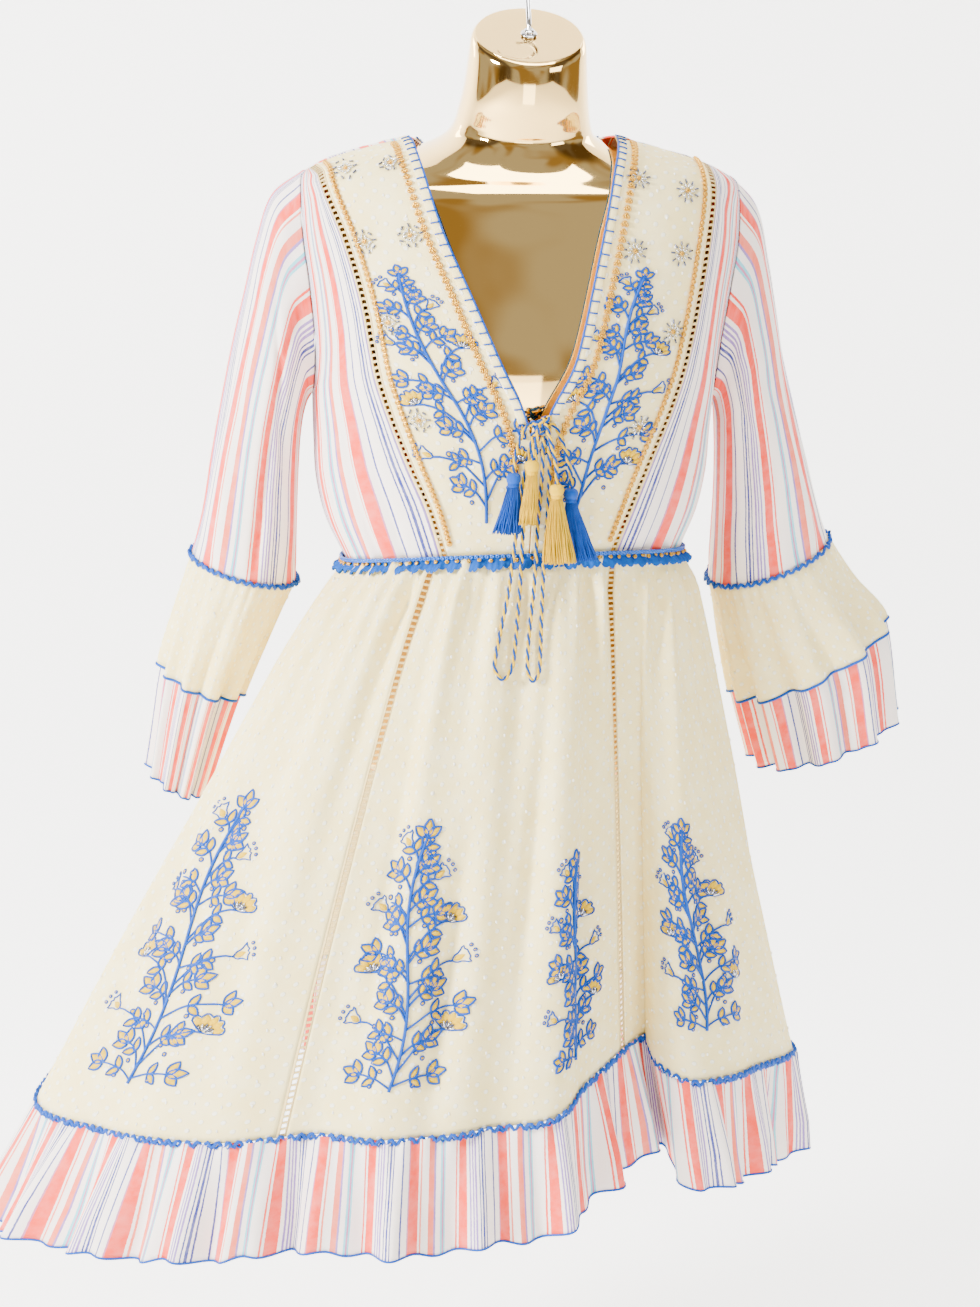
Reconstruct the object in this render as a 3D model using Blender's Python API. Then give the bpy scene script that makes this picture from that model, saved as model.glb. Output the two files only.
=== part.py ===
"""A boho mini dress on a smooth torso form that hangs from its hook.

Metres, +Z up. The dress faces -Y and the viewer's left is -X. The origin is the seat
of the hook, where a rail or peg carries the form. Cloth pieces are thin closed walls.
Angles round the body are measured from the front, positive towards +X.
"""
import math

import bmesh
import bpy
import numpy as np

WALL = 0.0012          # thickness of every cloth wall
SEAM = 0.0003          # gap left between two pieces that are sewn together
LIFT = 0.0005          # how far a piece that lies on a panel stands clear of it

HEM_Z = -0.975         # seam between skirt and hem ruffle
RUFFLE_HEIGHT = 0.094
RUFFLE_FLARE = 0.022
RUFFLE_SWEEP = 0.030   # how much farther the ruffle flares on the swept left side
RUFFLE_WAVES = 30
RUFFLE_WAVE = 0.0085
RUFFLE_CALM = (50.0, 9.0, 0.75)     # turn, width and share of the waves pressed flat in the deep fold
RUFFLE_PEAK = (-66.0, 24.0)         # turn and width of the sweep
RUFFLE_HANG = (92.0, 22.0, 0.90)    # turn, width and share of the flare taken off on the right
RUFFLE_DROPS = (0.0, 0.38, 1.0)     # rows of the ruffle, share of its height
CUFF_WAVES = 11
CUFF_WAVE = 0.006
SQUARENESS = 2.2       # 2 gives an ellipse, more gives a squarer section

CAP_TILT = 24.0        # degrees, the front of the neck cap is lower
ROD_RADIUS = 0.0021
HOOK_RADIUS = 0.016

# Hook below its rod: height above the cap, radius.
HOOK_FOOT = [(SEAM, 0.0068), (0.0022, 0.0068), (0.0026, 0.0046), (0.0052, 0.0042)]
ROD_SHARES = (0.12, 0.45, 0.8, 1.0)

CORD_WIDTH = 0.0036
KNOT = (0.008, -0.1316, -0.392)
KNOT_WIDTH = 0.0095
KNOT_DEPTH = 0.0058
# The knot's sections: height about its middle, share of its width.
KNOT_PROFILE = [(-0.0075, 0.80), (-0.0040, 0.97), (0.0, 1.0), (0.0040, 0.95), (0.0075, 0.72)]

# Sections of the bodice cloth: height, half width, depth to the front, depth to the back.
CLOTH = np.array([
    (-0.160, 0.030, 0.020, 0.020), (-0.168, 0.066, 0.040, 0.038), (-0.175, 0.096, 0.054, 0.050),
    (-0.184, 0.131, 0.068, 0.062), (-0.195, 0.164, 0.080, 0.072), (-0.210, 0.186, 0.090, 0.080),
    (-0.250, 0.191, 0.104, 0.088), (-0.300, 0.184, 0.117, 0.092), (-0.350, 0.175, 0.126, 0.093),
    (-0.400, 0.170, 0.127, 0.092), (-0.450, 0.168, 0.122, 0.092), (-0.500, 0.157, 0.114, 0.095),
    (-0.540, 0.137, 0.106, 0.096)])

# Sections of the torso form below the shoulders, with the same columns.
FIGURE = np.array([
    (-0.170, 0.0620, 0.063, 0.045), (-0.178, 0.075, 0.065, 0.049), (-0.187, 0.100, 0.0685, 0.0545),
    (-0.197, 0.138, 0.0750, 0.0625), (-0.212, 0.174, 0.0888, 0.0776), (-0.250, 0.178, 0.097, 0.083),
    (-0.300, 0.166, 0.110, 0.087),
    (-0.350, 0.154, 0.118, 0.086), (-0.400, 0.143, 0.114, 0.082), (-0.460, 0.128, 0.096, 0.076),
    (-0.520, 0.118, 0.084, 0.074), (-0.580, 0.128, 0.088, 0.086), (-0.640, 0.150, 0.098, 0.104),
    (-0.690, 0.158, 0.104, 0.108), (-0.705, 0.153, 0.099, 0.103), (-0.710, 0.140, 0.088, 0.090)])

# Neck of the form: height of the centre, centre Y, half width, half depth, tilt in degrees.
NECK = np.array([
    (-0.085, -0.035, 0.0450, 0.0450, 24.0), (-0.090, -0.0345, 0.0475, 0.0470, 23.0),
    (-0.110, -0.032, 0.0495, 0.0480, 20.0), (-0.130, -0.027, 0.0515, 0.0490, 16.0),
    (-0.148, -0.018, 0.0545, 0.0510, 10.0), (-0.160, -0.012, 0.0570, 0.0535, 5.0)])

# Waist seam: height behind, how much higher the front is, and how much the sides differ.
WAIST_Z = -0.538
WAIST_RISE = 0.032
WAIST_SLANT = 0.006
SKIRT_OUTSET = 0.0008  # the skirt's top edge stands out from the bodice by this
SKIRT_DROP = 0.0006    # and hangs below the waist seam by this
SKIRT_BOW = 0.87       # 1 gives straight sides, less bows them out
SKIRT_ROWS = 8

# Waist edging: distance out from the waist seam, height about it. The last row is frilled.
TRIM_ROWS = [(0.0040, 0.0030), (0.0034, -0.0010), (0.0092, -0.0060)]
TRIM_FRILL = 0.0012
TRIM_COLUMNS = 72
TRIM_WALL = 0.0010

# Plan of the hem seam: turn, X, Y, rise. The rows from 44 to 62 are the deep fold.
HEM_CENTRE = (-0.060, -0.010)
HEM = np.array([
    (-180.0, -0.060, 0.216, 0.000), (-150.0, -0.172, 0.186, 0.000), (-125.0, -0.250, 0.124, 0.000),
    (-105.0, -0.313, 0.060, -0.006), (-88.0, -0.378, -0.018, -0.012), (-72.0, -0.396, -0.118, -0.014),
    (-56.0, -0.350, -0.200, -0.004), (-38.0, -0.245, -0.246, 0.008), (-18.0, -0.145, -0.264, 0.016),
    (0.0, -0.060, -0.270, 0.018), (14.0, 0.005, -0.252, 0.020), (28.0, 0.058, -0.200, 0.036),
    (40.0, 0.098, -0.152, 0.046), (48.0, 0.119, -0.122, 0.046), (53.0, 0.121, -0.152, 0.036),
    (60.0, 0.146, -0.176, 0.024), (70.0, 0.206, -0.138, 0.016), (80.0, 0.250, -0.078, 0.006),
    (92.0, 0.266, -0.002, -0.004), (108.0, 0.236, 0.082, -0.002), (128.0, 0.156, 0.150, 0.000),
    (154.0, 0.048, 0.200, 0.000), (180.0, -0.060, 0.216, 0.000)])

# Soft lengthwise folds of the skirt: angle at the hem, depth, width in degrees.
FOLDS = [(-168, 0.012, 12), (-140, -0.011, 11), (-116, 0.008, 9), (-98, -0.008, 8), (-79, 0.010, 8),
         (-60, -0.012, 8), (-39, 0.009, 8), (-26, -0.010, 6), (-12, 0.007, 6), (6, -0.009, 6),
         (20, 0.007, 5), (74, -0.008, 4), (84, 0.008, 4), (100, -0.012, 8), (119, 0.012, 9),
         (141, -0.012, 9), (162, 0.011, 10)]

# Skirt seams: name, angle at the waist, angle at the hem, columns up to the next seam.
SKIRT_SEAMS = [("side_left", -90.0, -100.0, 12), ("ladder_left", -28.0, -31.0, 1),
               ("ladder_left_end", -25.5, -29.6, 17), ("ladder_right", 26.0, 38.0, 1),
               ("ladder_right_end", 28.5, 40.0, 16), ("side_right", 90.0, 98.0, 23),
               ("side_left_again", 270.0, 260.0, 0)]

# Front seams of the bodice: height, X on the left, X on the right.
NECK_EDGE = np.array([
    (-0.170, -0.094, 0.080), (-0.195, -0.087, 0.069), (-0.235, -0.074, 0.060),
    (-0.290, -0.049, 0.048), (-0.340, -0.026, 0.036), (-0.385, -0.004, 0.014),
    (-0.397, 0.004, 0.005), (-0.540, 0.004, 0.005)])
LADDER_EDGE = np.array([
    (-0.170, -0.176, 0.158), (-0.200, -0.172, 0.160), (-0.250, -0.153, 0.154),
    (-0.300, -0.138, 0.146), (-0.360, -0.126, 0.133), (-0.425, -0.102, 0.108),
    (-0.480, -0.078, 0.088), (-0.540, -0.060, 0.068)])
LADDER_WIDTH = 0.0066
BINDING_WIDTH = 0.0085
BINDING_FOOT = -0.3965  # the two bindings end where the neck edges meet

ARMHOLE_TOP = -0.203
ARMHOLE_FOOT = -0.392
ARMHOLE_DEPTH = 0.041
ARMHOLE_ROWS = 12       # rows from the shoulder tip to the underarm
BODICE_ROWS = 16
ROW_CROWD = 2.1         # how much closer together the bodice rows lie at the shoulder
PANEL_STEPS = 4         # columns of a yoke and of a side front
BACK_COLUMNS = 17
BACK_NECK = (4, 13)     # columns of the back where the neck edge lies
BACK_NECK_DIP = 0.022

SLEEVE_SET = 0.0008     # the sleeve starts this far out from the armhole
SLEEVE_FOLD = 0.045     # depth of its soft folds, share of its radius
FLOUNCE_SET = 0.0009    # the flounce starts this far below the sleeve's end

# Sleeves: X and Z of the outer line, X and Z of the inner line, centre Y, half depth.
SLEEVE = {
    "left": np.array([
        (-0.207, -0.224, -0.1735, -0.3950, 0.003, 0.046), (-0.219, -0.262, -0.1755, -0.3995, 0.006, 0.053),
        (-0.228, -0.305, -0.1775, -0.4070, 0.009, 0.057), (-0.238, -0.352, -0.1790, -0.4180, 0.012, 0.058),
        (-0.247, -0.402, -0.1800, -0.4380, 0.018, 0.058), (-0.255, -0.450, -0.1800, -0.4720, 0.026, 0.060),
        (-0.262, -0.500, -0.1790, -0.5180, 0.038, 0.062),
        (-0.269, -0.543, -0.1790, -0.5650, 0.050, 0.062)]),
    "right": np.array([
        (0.205, -0.228, 0.1735, -0.3950, 0.003, 0.046), (0.216, -0.270, 0.1760, -0.4010, 0.006, 0.053),
        (0.226, -0.314, 0.1785, -0.4110, 0.009, 0.057), (0.236, -0.358, 0.1800, -0.4270, 0.012, 0.058),
        (0.249, -0.402, 0.1815, -0.4520, 0.016, 0.058), (0.262, -0.444, 0.1825, -0.4850, 0.020, 0.060),
        (0.274, -0.484, 0.1830, -0.5250, 0.026, 0.062), (0.286, -0.521, 0.1840, -0.5630, 0.032, 0.064)])}

# Cuff flounces from the seam down: share of the way, then the sleeve's own columns.
FLOUNCE = {
    "left": np.array([
        (0.0, -0.269, -0.543, -0.1790, -0.5650, 0.050, 0.062),
        (0.5, -0.281, -0.598, -0.2020, -0.6200, 0.068, 0.066),
        (1.0, -0.292, -0.656, -0.2240, -0.6760, 0.086, 0.067),
        (1.75, -0.304, -0.756, -0.2520, -0.7740, 0.110, 0.066)]),
    "right": np.array([
        (0.0, 0.286, -0.521, 0.1840, -0.5630, 0.032, 0.064),
        (0.5, 0.312, -0.562, 0.1990, -0.6200, 0.038, 0.068),
        (1.0, 0.344, -0.604, 0.2150, -0.6720, 0.044, 0.072),
        (1.75, 0.361, -0.690, 0.2360, -0.7360, 0.052, 0.072)])}

FLOUNCE_ROWS = (0.0, 0.45, 0.86, 1.0)
FRILL_ROWS = (0.86, 1.0, 1.75)
FRILL_TUCK = {"left": 0.0035, "right": 0.0023}    # how far inside the flounce the frill is sewn

# Routes of the bow loops: X, distance in front of the cloth, Z.
LOOP_LEFT = [(0.0015, 0.0065, -0.4000), (-0.003, 0.0060, -0.425), (-0.006, 0.0060, -0.452),
             (-0.008, 0.0070, -0.478),
             (-0.011, 0.0150, -0.504), (-0.015, 0.0110, -0.532), (-0.021, 0.0060, -0.560),
             (-0.026, 0.0055, -0.583),
             (-0.0265, 0.0055, -0.592), (-0.020, 0.0055, -0.600), (-0.0125, 0.0055, -0.591),
             (-0.0095, 0.0055, -0.575),
             (-0.0070, 0.0090, -0.546), (-0.0050, 0.0130, -0.523), (-0.0040, 0.0150, -0.504),
             (-0.0025, 0.0070, -0.478),
             (0.0015, 0.0060, -0.450), (0.0040, 0.0060, -0.425), (0.0057, 0.0065, -0.4000)]
LOOP_RIGHT = [(0.0101, 0.0065, -0.4000), (0.0105, 0.0060, -0.428), (0.0100, 0.0060, -0.456),
              (0.0090, 0.0070, -0.480),
              (0.0080, 0.0150, -0.504), (0.0062, 0.0110, -0.530), (0.0030, 0.0060, -0.560),
              (0.0010, 0.0055, -0.582),
              (0.0012, 0.0055, -0.594), (0.0055, 0.0055, -0.602), (0.0105, 0.0055, -0.595),
              (0.0120, 0.0055, -0.578),
              (0.0128, 0.0085, -0.550), (0.0138, 0.0130, -0.524), (0.0150, 0.0150, -0.504),
              (0.0165, 0.0070, -0.480),
              (0.0170, 0.0060, -0.450), (0.0162, 0.0060, -0.425), (0.0143, 0.0065, -0.4000)]

# Short ends of the tie from the knot to the tassels' tops.
TIE_ENDS = [
    ("tie_end_1", [(0.0045, -0.1384, -0.3905), (0.0038, -0.1433, -0.3960), (0.0010, -0.1449, -0.4080),
                   (0.0, -0.1451, -0.4166)]),
    ("tie_end_2", [(-0.0035, -0.1321, -0.3915), (-0.0090, -0.1336, -0.4020), (-0.0130, -0.1371, -0.4160),
                   (-0.0140, -0.1383, -0.4286)]),
    ("tie_end_3", [(0.0115, -0.1384, -0.3905), (0.0135, -0.1433, -0.3970), (0.0170, -0.1445, -0.4090),
                   (0.0200, -0.1449, -0.4240), (0.0210, -0.1449, -0.4366)]),
    ("tie_end_4", [(0.0195, -0.1321, -0.3915), (0.0265, -0.1341, -0.4060), (0.0325, -0.1366, -0.4260),
                   (0.0340, -0.1371, -0.4416)])]

# Tassels: name, head's top X, Y, Z, spread, lean, length.
TASSELS = [("tassel_yellow_left", 0.000, -0.1451, -0.417, 0.0070, -0.002, 0.053),
           ("tassel_blue_left", -0.014, -0.1383, -0.429, 0.0110, -0.004, 0.050),
           ("tassel_yellow_right", 0.021, -0.1449, -0.437, 0.0130, 0.004, 0.066),
           ("tassel_blue_right", 0.034, -0.1371, -0.442, 0.0110, 0.012, 0.060)]
TASSEL_SIDES = 8
TASSEL_HEAD = 0.0052
TASSEL_THREAD = (0.6, 0.4)    # a thread's width and depth at its foot, share of the widening
TASSEL_GAP = 0.0003
TASSEL_UNEVEN = 0.003         # how unevenly the threads end
# The tassel's bound head: drop below its top, share of its radius.
TASSEL_PROFILE = [(0.0, 0.55), (0.0022, 0.95), (0.0060, 1.0), (0.0098, 0.80), (0.0115, 0.88)]

COLOURS = {
    "cream": ((0.93, 0.86, 0.68, 1.0), 0.0, 0.85), "striped": ((0.92, 0.78, 0.72, 1.0), 0.0, 0.85),
    "trim": ((0.02, 0.12, 0.55, 1.0), 0.0, 0.7), "binding": ((0.90, 0.88, 0.84, 1.0), 0.0, 0.8),
    "yellow": ((0.90, 0.50, 0.04, 1.0), 0.0, 0.6), "gold": ((0.90, 0.58, 0.22, 1.0), 1.0, 0.05),
    "chrome": ((0.80, 0.80, 0.82, 1.0), 1.0, 0.12)}


def clear_scene():
    for found in list(bpy.data.objects):
        bpy.data.objects.remove(found, do_unlink=True)


def material(name):
    """One Principled material for each finish."""
    made = bpy.data.materials.get(name)
    if made is None:
        made = bpy.data.materials.new(name)
        made.use_nodes = True
        shader = made.node_tree.nodes["Principled BSDF"]
        colour, metallic, roughness = COLOURS[name]
        shader.inputs["Base Color"].default_value = colour
        shader.inputs["Metallic"].default_value = metallic
        shader.inputs["Roughness"].default_value = roughness
    return made


def smooth_table(table, key):
    """Rows of a table read at any key by a cubic through the rows, with no overshoot past them."""
    order = np.argsort(table[:, 0])
    knots, rows = table[order, 0], table[order, 1:]
    step = np.diff(knots)[:, None]
    slope = np.diff(rows, axis=0) / step
    tangent = np.zeros_like(rows)
    same = slope[:-1] * slope[1:] > 0
    total = np.where(same, slope[:-1] + slope[1:], 1.0)
    tangent[1:-1] = np.where(same, 2 * slope[:-1] * slope[1:] / total, 0.0)
    tangent[0], tangent[-1] = slope[0], slope[-1]
    key = np.clip(np.asarray(key, float), knots[0], knots[-1])
    row = np.clip(np.searchsorted(knots, key, side="right") - 1, 0, len(knots) - 2)
    share = ((key - knots[row]) / step[row, 0])[..., None]
    rise = rows[row] + share * (rows[row + 1] - rows[row])
    bend = share * (1 - share)
    lift = (tangent[row] - slope[row]) * (1 - share) - (tangent[row + 1] - slope[row]) * share
    return rise + bend * lift * step[row]


def add_mesh(name, points, faces, finish):
    """A closed mesh whose faces point out."""
    mesh = bpy.data.meshes.new(name)
    mesh.from_pydata([tuple(point) for point in points], [], faces)
    made = bpy.data.objects.new(name, mesh)
    mesh.materials.append(material(finish))
    bpy.context.collection.objects.link(made)
    corners = np.array([[points[face[0]], points[face[k]], points[face[k + 1]]]
                        for face in faces for k in range(1, len(face) - 1)])
    if np.einsum("ij,ij->i", corners[:, 0], np.cross(corners[:, 1], corners[:, 2])).sum() < 0:
        mesh.flip_normals()
    mesh.shade_smooth()
    return made


def grid_normals(outer, closed, inside):
    """Unit normals of a grid of points, turned away from the inside point."""
    if closed:
        across = np.roll(outer, -1, axis=1) - np.roll(outer, 1, axis=1)
    else:
        across = np.gradient(outer, axis=1)
    normals = np.cross(across, np.gradient(outer, axis=0))
    normals /= np.linalg.norm(normals, axis=2, keepdims=True)
    if (normals * (outer - np.asarray(inside))).sum(axis=2).mean() < 0:
        normals = -normals
    return normals


def wall_mesh(name, outer, inner, closed, finish):
    """A wall between an outer and an inner grid, closed along its rims."""
    rows, columns = outer.shape[:2]
    count = rows * columns
    points = np.concatenate([outer.reshape(-1, 3), inner.reshape(-1, 3)])
    last = columns if closed else columns - 1
    faces = []
    for i in range(rows - 1):
        for j in range(last):
            a, b = i * columns + j, i * columns + (j + 1) % columns
            c, d = b + columns, a + columns
            faces += [(a, b, c), (a, c, d)]
            faces += [(count + c, count + b, count + a), (count + d, count + c, count + a)]
    for j in range(last):
        a, b = j, (j + 1) % columns
        faces += [(count + a, count + b, b), (count + a, b, a)]
        a, b = a + (rows - 1) * columns, b + (rows - 1) * columns
        faces += [(a, b, count + b), (a, count + b, count + a)]
    if not closed:
        for i in range(rows - 1):
            a, b = i * columns, (i + 1) * columns
            faces += [(a, b, count + b), (a, count + b, count + a)]
            a, b = a + columns - 1, b + columns - 1
            faces += [(count + a, count + b, a), (count + b, b, a)]
    return add_mesh(name, points, faces, finish)


def drawn_in(grid, sides, gap):
    """The grid with its borders moved towards its middle: sides are top, foot, start, end."""
    grid = grid.copy()
    def shift(border, neighbour):
        step = neighbour - border
        return border + step * (gap / np.linalg.norm(step, axis=-1, keepdims=True))
    if "top" in sides:
        grid[0] = shift(grid[0], grid[1])
    if "foot" in sides:
        grid[-1] = shift(grid[-1], grid[-2])
    if "start" in sides:
        grid[:, 0] = shift(grid[:, 0], grid[:, 1])
    if "end" in sides:
        grid[:, -1] = shift(grid[:, -1], grid[:, -2])
    return grid


def panel(name, outer, inner, first, last, finish):
    """Columns first to last of a walled surface, as a piece of its own with seam gaps."""
    part, sides = slice(first, last + 1), ("top", "foot", "start", "end")
    return wall_mesh(name, drawn_in(outer[:, part], sides, SEAM / 2),
                     drawn_in(inner[:, part], sides, SEAM / 2), False, finish)


def section_point(table, turn, height, back):
    """A point at a turn from the front, in radians, on the section at a height."""
    half, front, rear = np.moveaxis(smooth_table(table, height), -1, 0)
    power = 2.0 / SQUARENESS
    x = half * np.sign(np.sin(turn)) * np.abs(np.sin(turn)) ** power
    depth = np.abs(np.cos(turn)) ** power
    y = np.where(back, rear * depth, -front * depth)
    return np.stack([x, y, height + 0 * x], axis=-1)


def turn_at(table, x, height):
    """The turn from the front at which a section reaches X."""
    half = smooth_table(table, height)[..., 0]
    share = np.clip(np.abs(x) / half, 0.0, 1.0)
    return np.sign(x) * np.arcsin(share ** (SQUARENESS / 2.0))


def ridge_height(x):
    """Height of the shoulder ridge at X, where the section is just that wide."""
    heights = np.linspace(CLOTH[0, 0], -0.215, 400)
    halves = smooth_table(CLOTH, heights)[:, 0]
    return np.interp(np.abs(x), halves, heights)


def waist_height(turn):
    turn = np.asarray(turn, float)
    return WAIST_Z + WAIST_RISE * ((1 + np.cos(turn)) / 2) ** 2 + WAIST_SLANT * np.sin(turn)


def armhole_curve(angle, side):
    """Points of the armhole: angle 0 is the shoulder tip, a quarter turn the front."""
    middle, half = (ARMHOLE_TOP + ARMHOLE_FOOT) / 2, (ARMHOLE_TOP - ARMHOLE_FOOT) / 2
    height = middle + half * np.cos(angle)
    width, front, rear = np.moveaxis(smooth_table(CLOTH, height), -1, 0)
    y = -ARMHOLE_DEPTH * np.sin(angle)
    depth = np.where(y < 0, front, rear)
    x = side * width * (1 - (np.abs(y) / depth) ** SQUARENESS) ** (1 / SQUARENESS)
    return np.stack([x, y, height], axis=-1)


def row_shares(count):
    """Shares of the way from shoulder to waist, close together at the top."""
    return (np.arange(count) / (count - 1)) ** ROW_CROWD


def front_column(table, column, margin):
    """A seam of the bodice front from the ridge to the waist: X and height for each row."""
    top_x = table[0, column] + margin
    top = ridge_height(top_x)
    foot_x = table[-1, column] + margin
    foot = waist_height(turn_at(CLOTH, foot_x, -0.53))
    height = top + (foot - top) * row_shares(BODICE_ROWS)
    x = smooth_table(table, height)[:, column - 1] + margin
    x[0] = top_x
    return x, height


def outer_column(side, back):
    """The armhole from tip to underarm and then the side seam: turn and height for each row."""
    angle = np.linspace(0, math.pi, ARMHOLE_ROWS)
    curve = armhole_curve(angle if not back else -angle, side)
    width, front, rear = np.moveaxis(smooth_table(CLOTH, curve[:, 2]), -1, 0)
    depth = rear if back else front
    turn = side * np.arccos((np.abs(curve[:, 1]) / depth) ** (SQUARENESS / 2))
    below = BODICE_ROWS - ARMHOLE_ROWS
    foot = waist_height(side * math.pi / 2)
    heights = np.concatenate([curve[:, 2], np.linspace(ARMHOLE_FOOT, foot, below + 1)[1:]])
    turns = np.concatenate([turn, np.full(below, side * math.pi / 2)])
    return turns, heights


def bodice_front(side):
    """Grid of the whole front on one side, and the columns where its pieces meet."""
    column = 1 if side < 0 else 2
    neck_x, neck_z = front_column(NECK_EDGE, column, 0.0)
    bind_x, bind_z = front_column(NECK_EDGE, column, side * BINDING_WIDTH)
    inner_x, inner_z = front_column(LADDER_EDGE, column, -side * LADDER_WIDTH)
    outer_x, outer_z = front_column(LADDER_EDGE, column, 0.0)
    arm_turn, arm_z = outer_column(side, False)
    columns = [(neck_x, neck_z)]
    for j in range(PANEL_STEPS + 1):
        share = j / PANEL_STEPS
        columns.append((bind_x + (inner_x - bind_x) * share, bind_z + (inner_z - bind_z) * share))
    columns.append((outer_x, outer_z))
    grid = []
    for x, z in columns:
        grid.append(section_point(CLOTH, turn_at(CLOTH, x, z), z, False))
    for points in grid[1:-1]:
        points[0] = points[0, 0], 0.0, ridge_height(points[0, 0])   # the shoulder seam keeps to the ridge
    ladder_turn = turn_at(CLOTH, outer_x, outer_z)
    for j in range(1, PANEL_STEPS + 1):
        share = j / PANEL_STEPS
        turn = ladder_turn + (arm_turn - ladder_turn) * share
        grid.append(section_point(CLOTH, turn, outer_z + (arm_z - outer_z) * share, False))
    return np.stack(grid, axis=1)


def bodice_back():
    """Grid of the back from the left armhole and side seam to the right ones."""
    left_turn, left_z = outer_column(-1, True)
    right_turn, right_z = outer_column(1, True)
    tip = armhole_curve(np.array(0.0), 1)[0]
    neck_left, neck_right = NECK_EDGE[0, 1], NECK_EDGE[0, 2]
    stops = [0, BACK_NECK[0], BACK_NECK[1], BACK_COLUMNS]
    grid = []
    for j in range(BACK_COLUMNS + 1):
        if j in (0, BACK_COLUMNS):
            turn, z = (left_turn, left_z) if j == 0 else (right_turn, right_z)
            grid.append(section_point(CLOTH, turn, z, True))
            continue
        top_x = float(np.interp(j, stops, [-tip, neck_left, neck_right, tip]))
        across = (j - BACK_NECK[0]) / (BACK_NECK[1] - BACK_NECK[0])
        if 0 <= across <= 1:
            level = np.interp(across, [0, 1], ridge_height(np.array([neck_left, neck_right])))
            top = level - BACK_NECK_DIP * math.sqrt(1 - (2 * across - 1) ** 2)
        else:
            top = float(ridge_height(top_x))
        foot_turn = left_turn[-1] + (right_turn[-1] - left_turn[-1]) * j / BACK_COLUMNS
        foot = waist_height(math.copysign(math.pi, foot_turn) - foot_turn)
        z = top + (foot - top) * row_shares(BODICE_ROWS)
        foot_x = section_point(CLOTH, np.array(foot_turn), np.array(foot), True)[0]
        x = top_x + (foot_x - top_x) * row_shares(BODICE_ROWS)
        grid.append(section_point(CLOTH, turn_at(CLOTH, x, z), z, True))
    return np.stack(grid, axis=1)


def seam_normals(normals, columns, ridge):
    """Normals at side seams and on the ridge kept in the seam's plane, so that walls meet."""
    for column in ridge:
        normals[0, column, 1] = 0.0
        normals[0, column] /= np.linalg.norm(normals[0, column])
    for column in columns:
        edge = normals[ARMHOLE_ROWS - 1:, column]
        edge[:, 1] = 0.0
        edge /= np.linalg.norm(edge, axis=1, keepdims=True)
    return normals


def make_bodice():
    """Yokes, ladder trims, striped side fronts and bindings on both sides, and the back."""
    for side, word in ((-1, "left"), (1, "right")):
        outer = bodice_front(side)
        normals = seam_normals(grid_normals(outer, False, (side * 0.08, 0.0, -0.36)), [-1],
                               range(outer.shape[1]))
        inner = outer - WALL * normals
        inset = PANEL_STEPS + 1
        panel("yoke_" + word, outer, inner, 0, inset, "cream")
        panel("bodice_ladder_" + word, outer, inner, inset, inset + 1, "binding")
        panel("side_front_" + word, outer, inner, inset + 1, inset + 1 + PANEL_STEPS, "striped")
        raised = outer + LIFT * normals
        above = raised[:, 0, 2] > BINDING_FOOT
        keep, up = raised[above, 0:2], normals[above, 0:2]
        wall_mesh("neck_binding_" + word, drawn_in(keep + WALL * up, ("top",), SEAM),
                  drawn_in(keep, ("top",), SEAM), False, "binding")
    outer = bodice_back()
    normals = seam_normals(grid_normals(outer, False, (0.0, 0.0, -0.36)), [0, -1],
                           [*range(BACK_NECK[0]), *range(BACK_NECK[1] + 1, outer.shape[1])])
    inner = outer - WALL * normals
    panel("bodice_back", outer, inner, 0, outer.shape[1] - 1, "striped")
    first, last = BACK_NECK[0] + 1, BACK_NECK[1] - 1
    strip = outer[0:2, first:last + 1] + LIFT * normals[0:2, first:last + 1]
    up = normals[0:2, first:last + 1]
    wall_mesh("neck_binding_back", drawn_in(strip + WALL * up, ("start", "end"), SEAM),
              drawn_in(strip, ("start", "end"), SEAM), False, "binding")


def skirt_columns():
    """Angles at the waist and at the hem for every column of the skirt, with seam columns."""
    waist, hem, marks = [], [], {}
    for (name, at_waist, at_hem, count), (_, next_waist, next_hem, _) in zip(SKIRT_SEAMS, SKIRT_SEAMS[1:]):
        marks[name] = len(waist)
        for j in range(count):
            waist.append(at_waist + (next_waist - at_waist) * j / count)
            hem.append(at_hem + (next_hem - at_hem) * j / count)
    return np.radians(waist), np.radians(hem), marks


def wrapped(angle):
    return (angle + math.pi) % (2 * math.pi) - math.pi


def waist_ring(turn, outset):
    """The waist seam at each angle, moved out by a distance in plan."""
    turn = wrapped(turn)
    back = np.abs(turn) > math.pi / 2
    lean = np.where(back, np.sign(turn) * math.pi - turn, turn)
    height = waist_height(turn)
    ring = section_point(CLOTH, lean, height, back)
    plan = ring[..., :2] / np.linalg.norm(ring[..., :2], axis=-1, keepdims=True)
    ring[..., :2] += plan * np.asarray(outset)[..., None]
    return ring


def hem_ring(turn, added=0.0):
    """The hem seam at each turn with its soft folds, moved away from its centre by a distance."""
    degrees = np.degrees(wrapped(turn))
    ring = smooth_table(HEM, degrees)
    moved = np.zeros(ring.shape[:-1]) + added
    for angle, depth, width in FOLDS:
        away = (degrees - angle + 180) % 360 - 180
        moved = moved + depth * np.exp(-(away / width) ** 2)
    out = ring[..., :2] - HEM_CENTRE
    ring[..., :2] += out / np.linalg.norm(out, axis=-1, keepdims=True) * moved[..., None]
    ring[..., 2] += HEM_Z
    return ring


def skirt_grid(waist, hem):
    """The skirt: each column runs from the waist seam to the hem, bowed out a little."""
    top, foot = waist_ring(waist, SKIRT_OUTSET), hem_ring(hem)
    top[..., 2] -= SKIRT_DROP
    rows = []
    for i in range(SKIRT_ROWS):
        drop = i / (SKIRT_ROWS - 1)
        out = drop ** SKIRT_BOW
        point = top + (foot - top) * out
        point[..., 2] = top[..., 2] + (foot[..., 2] - top[..., 2]) * drop
        rows.append(point)
    return np.stack(rows)


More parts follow.
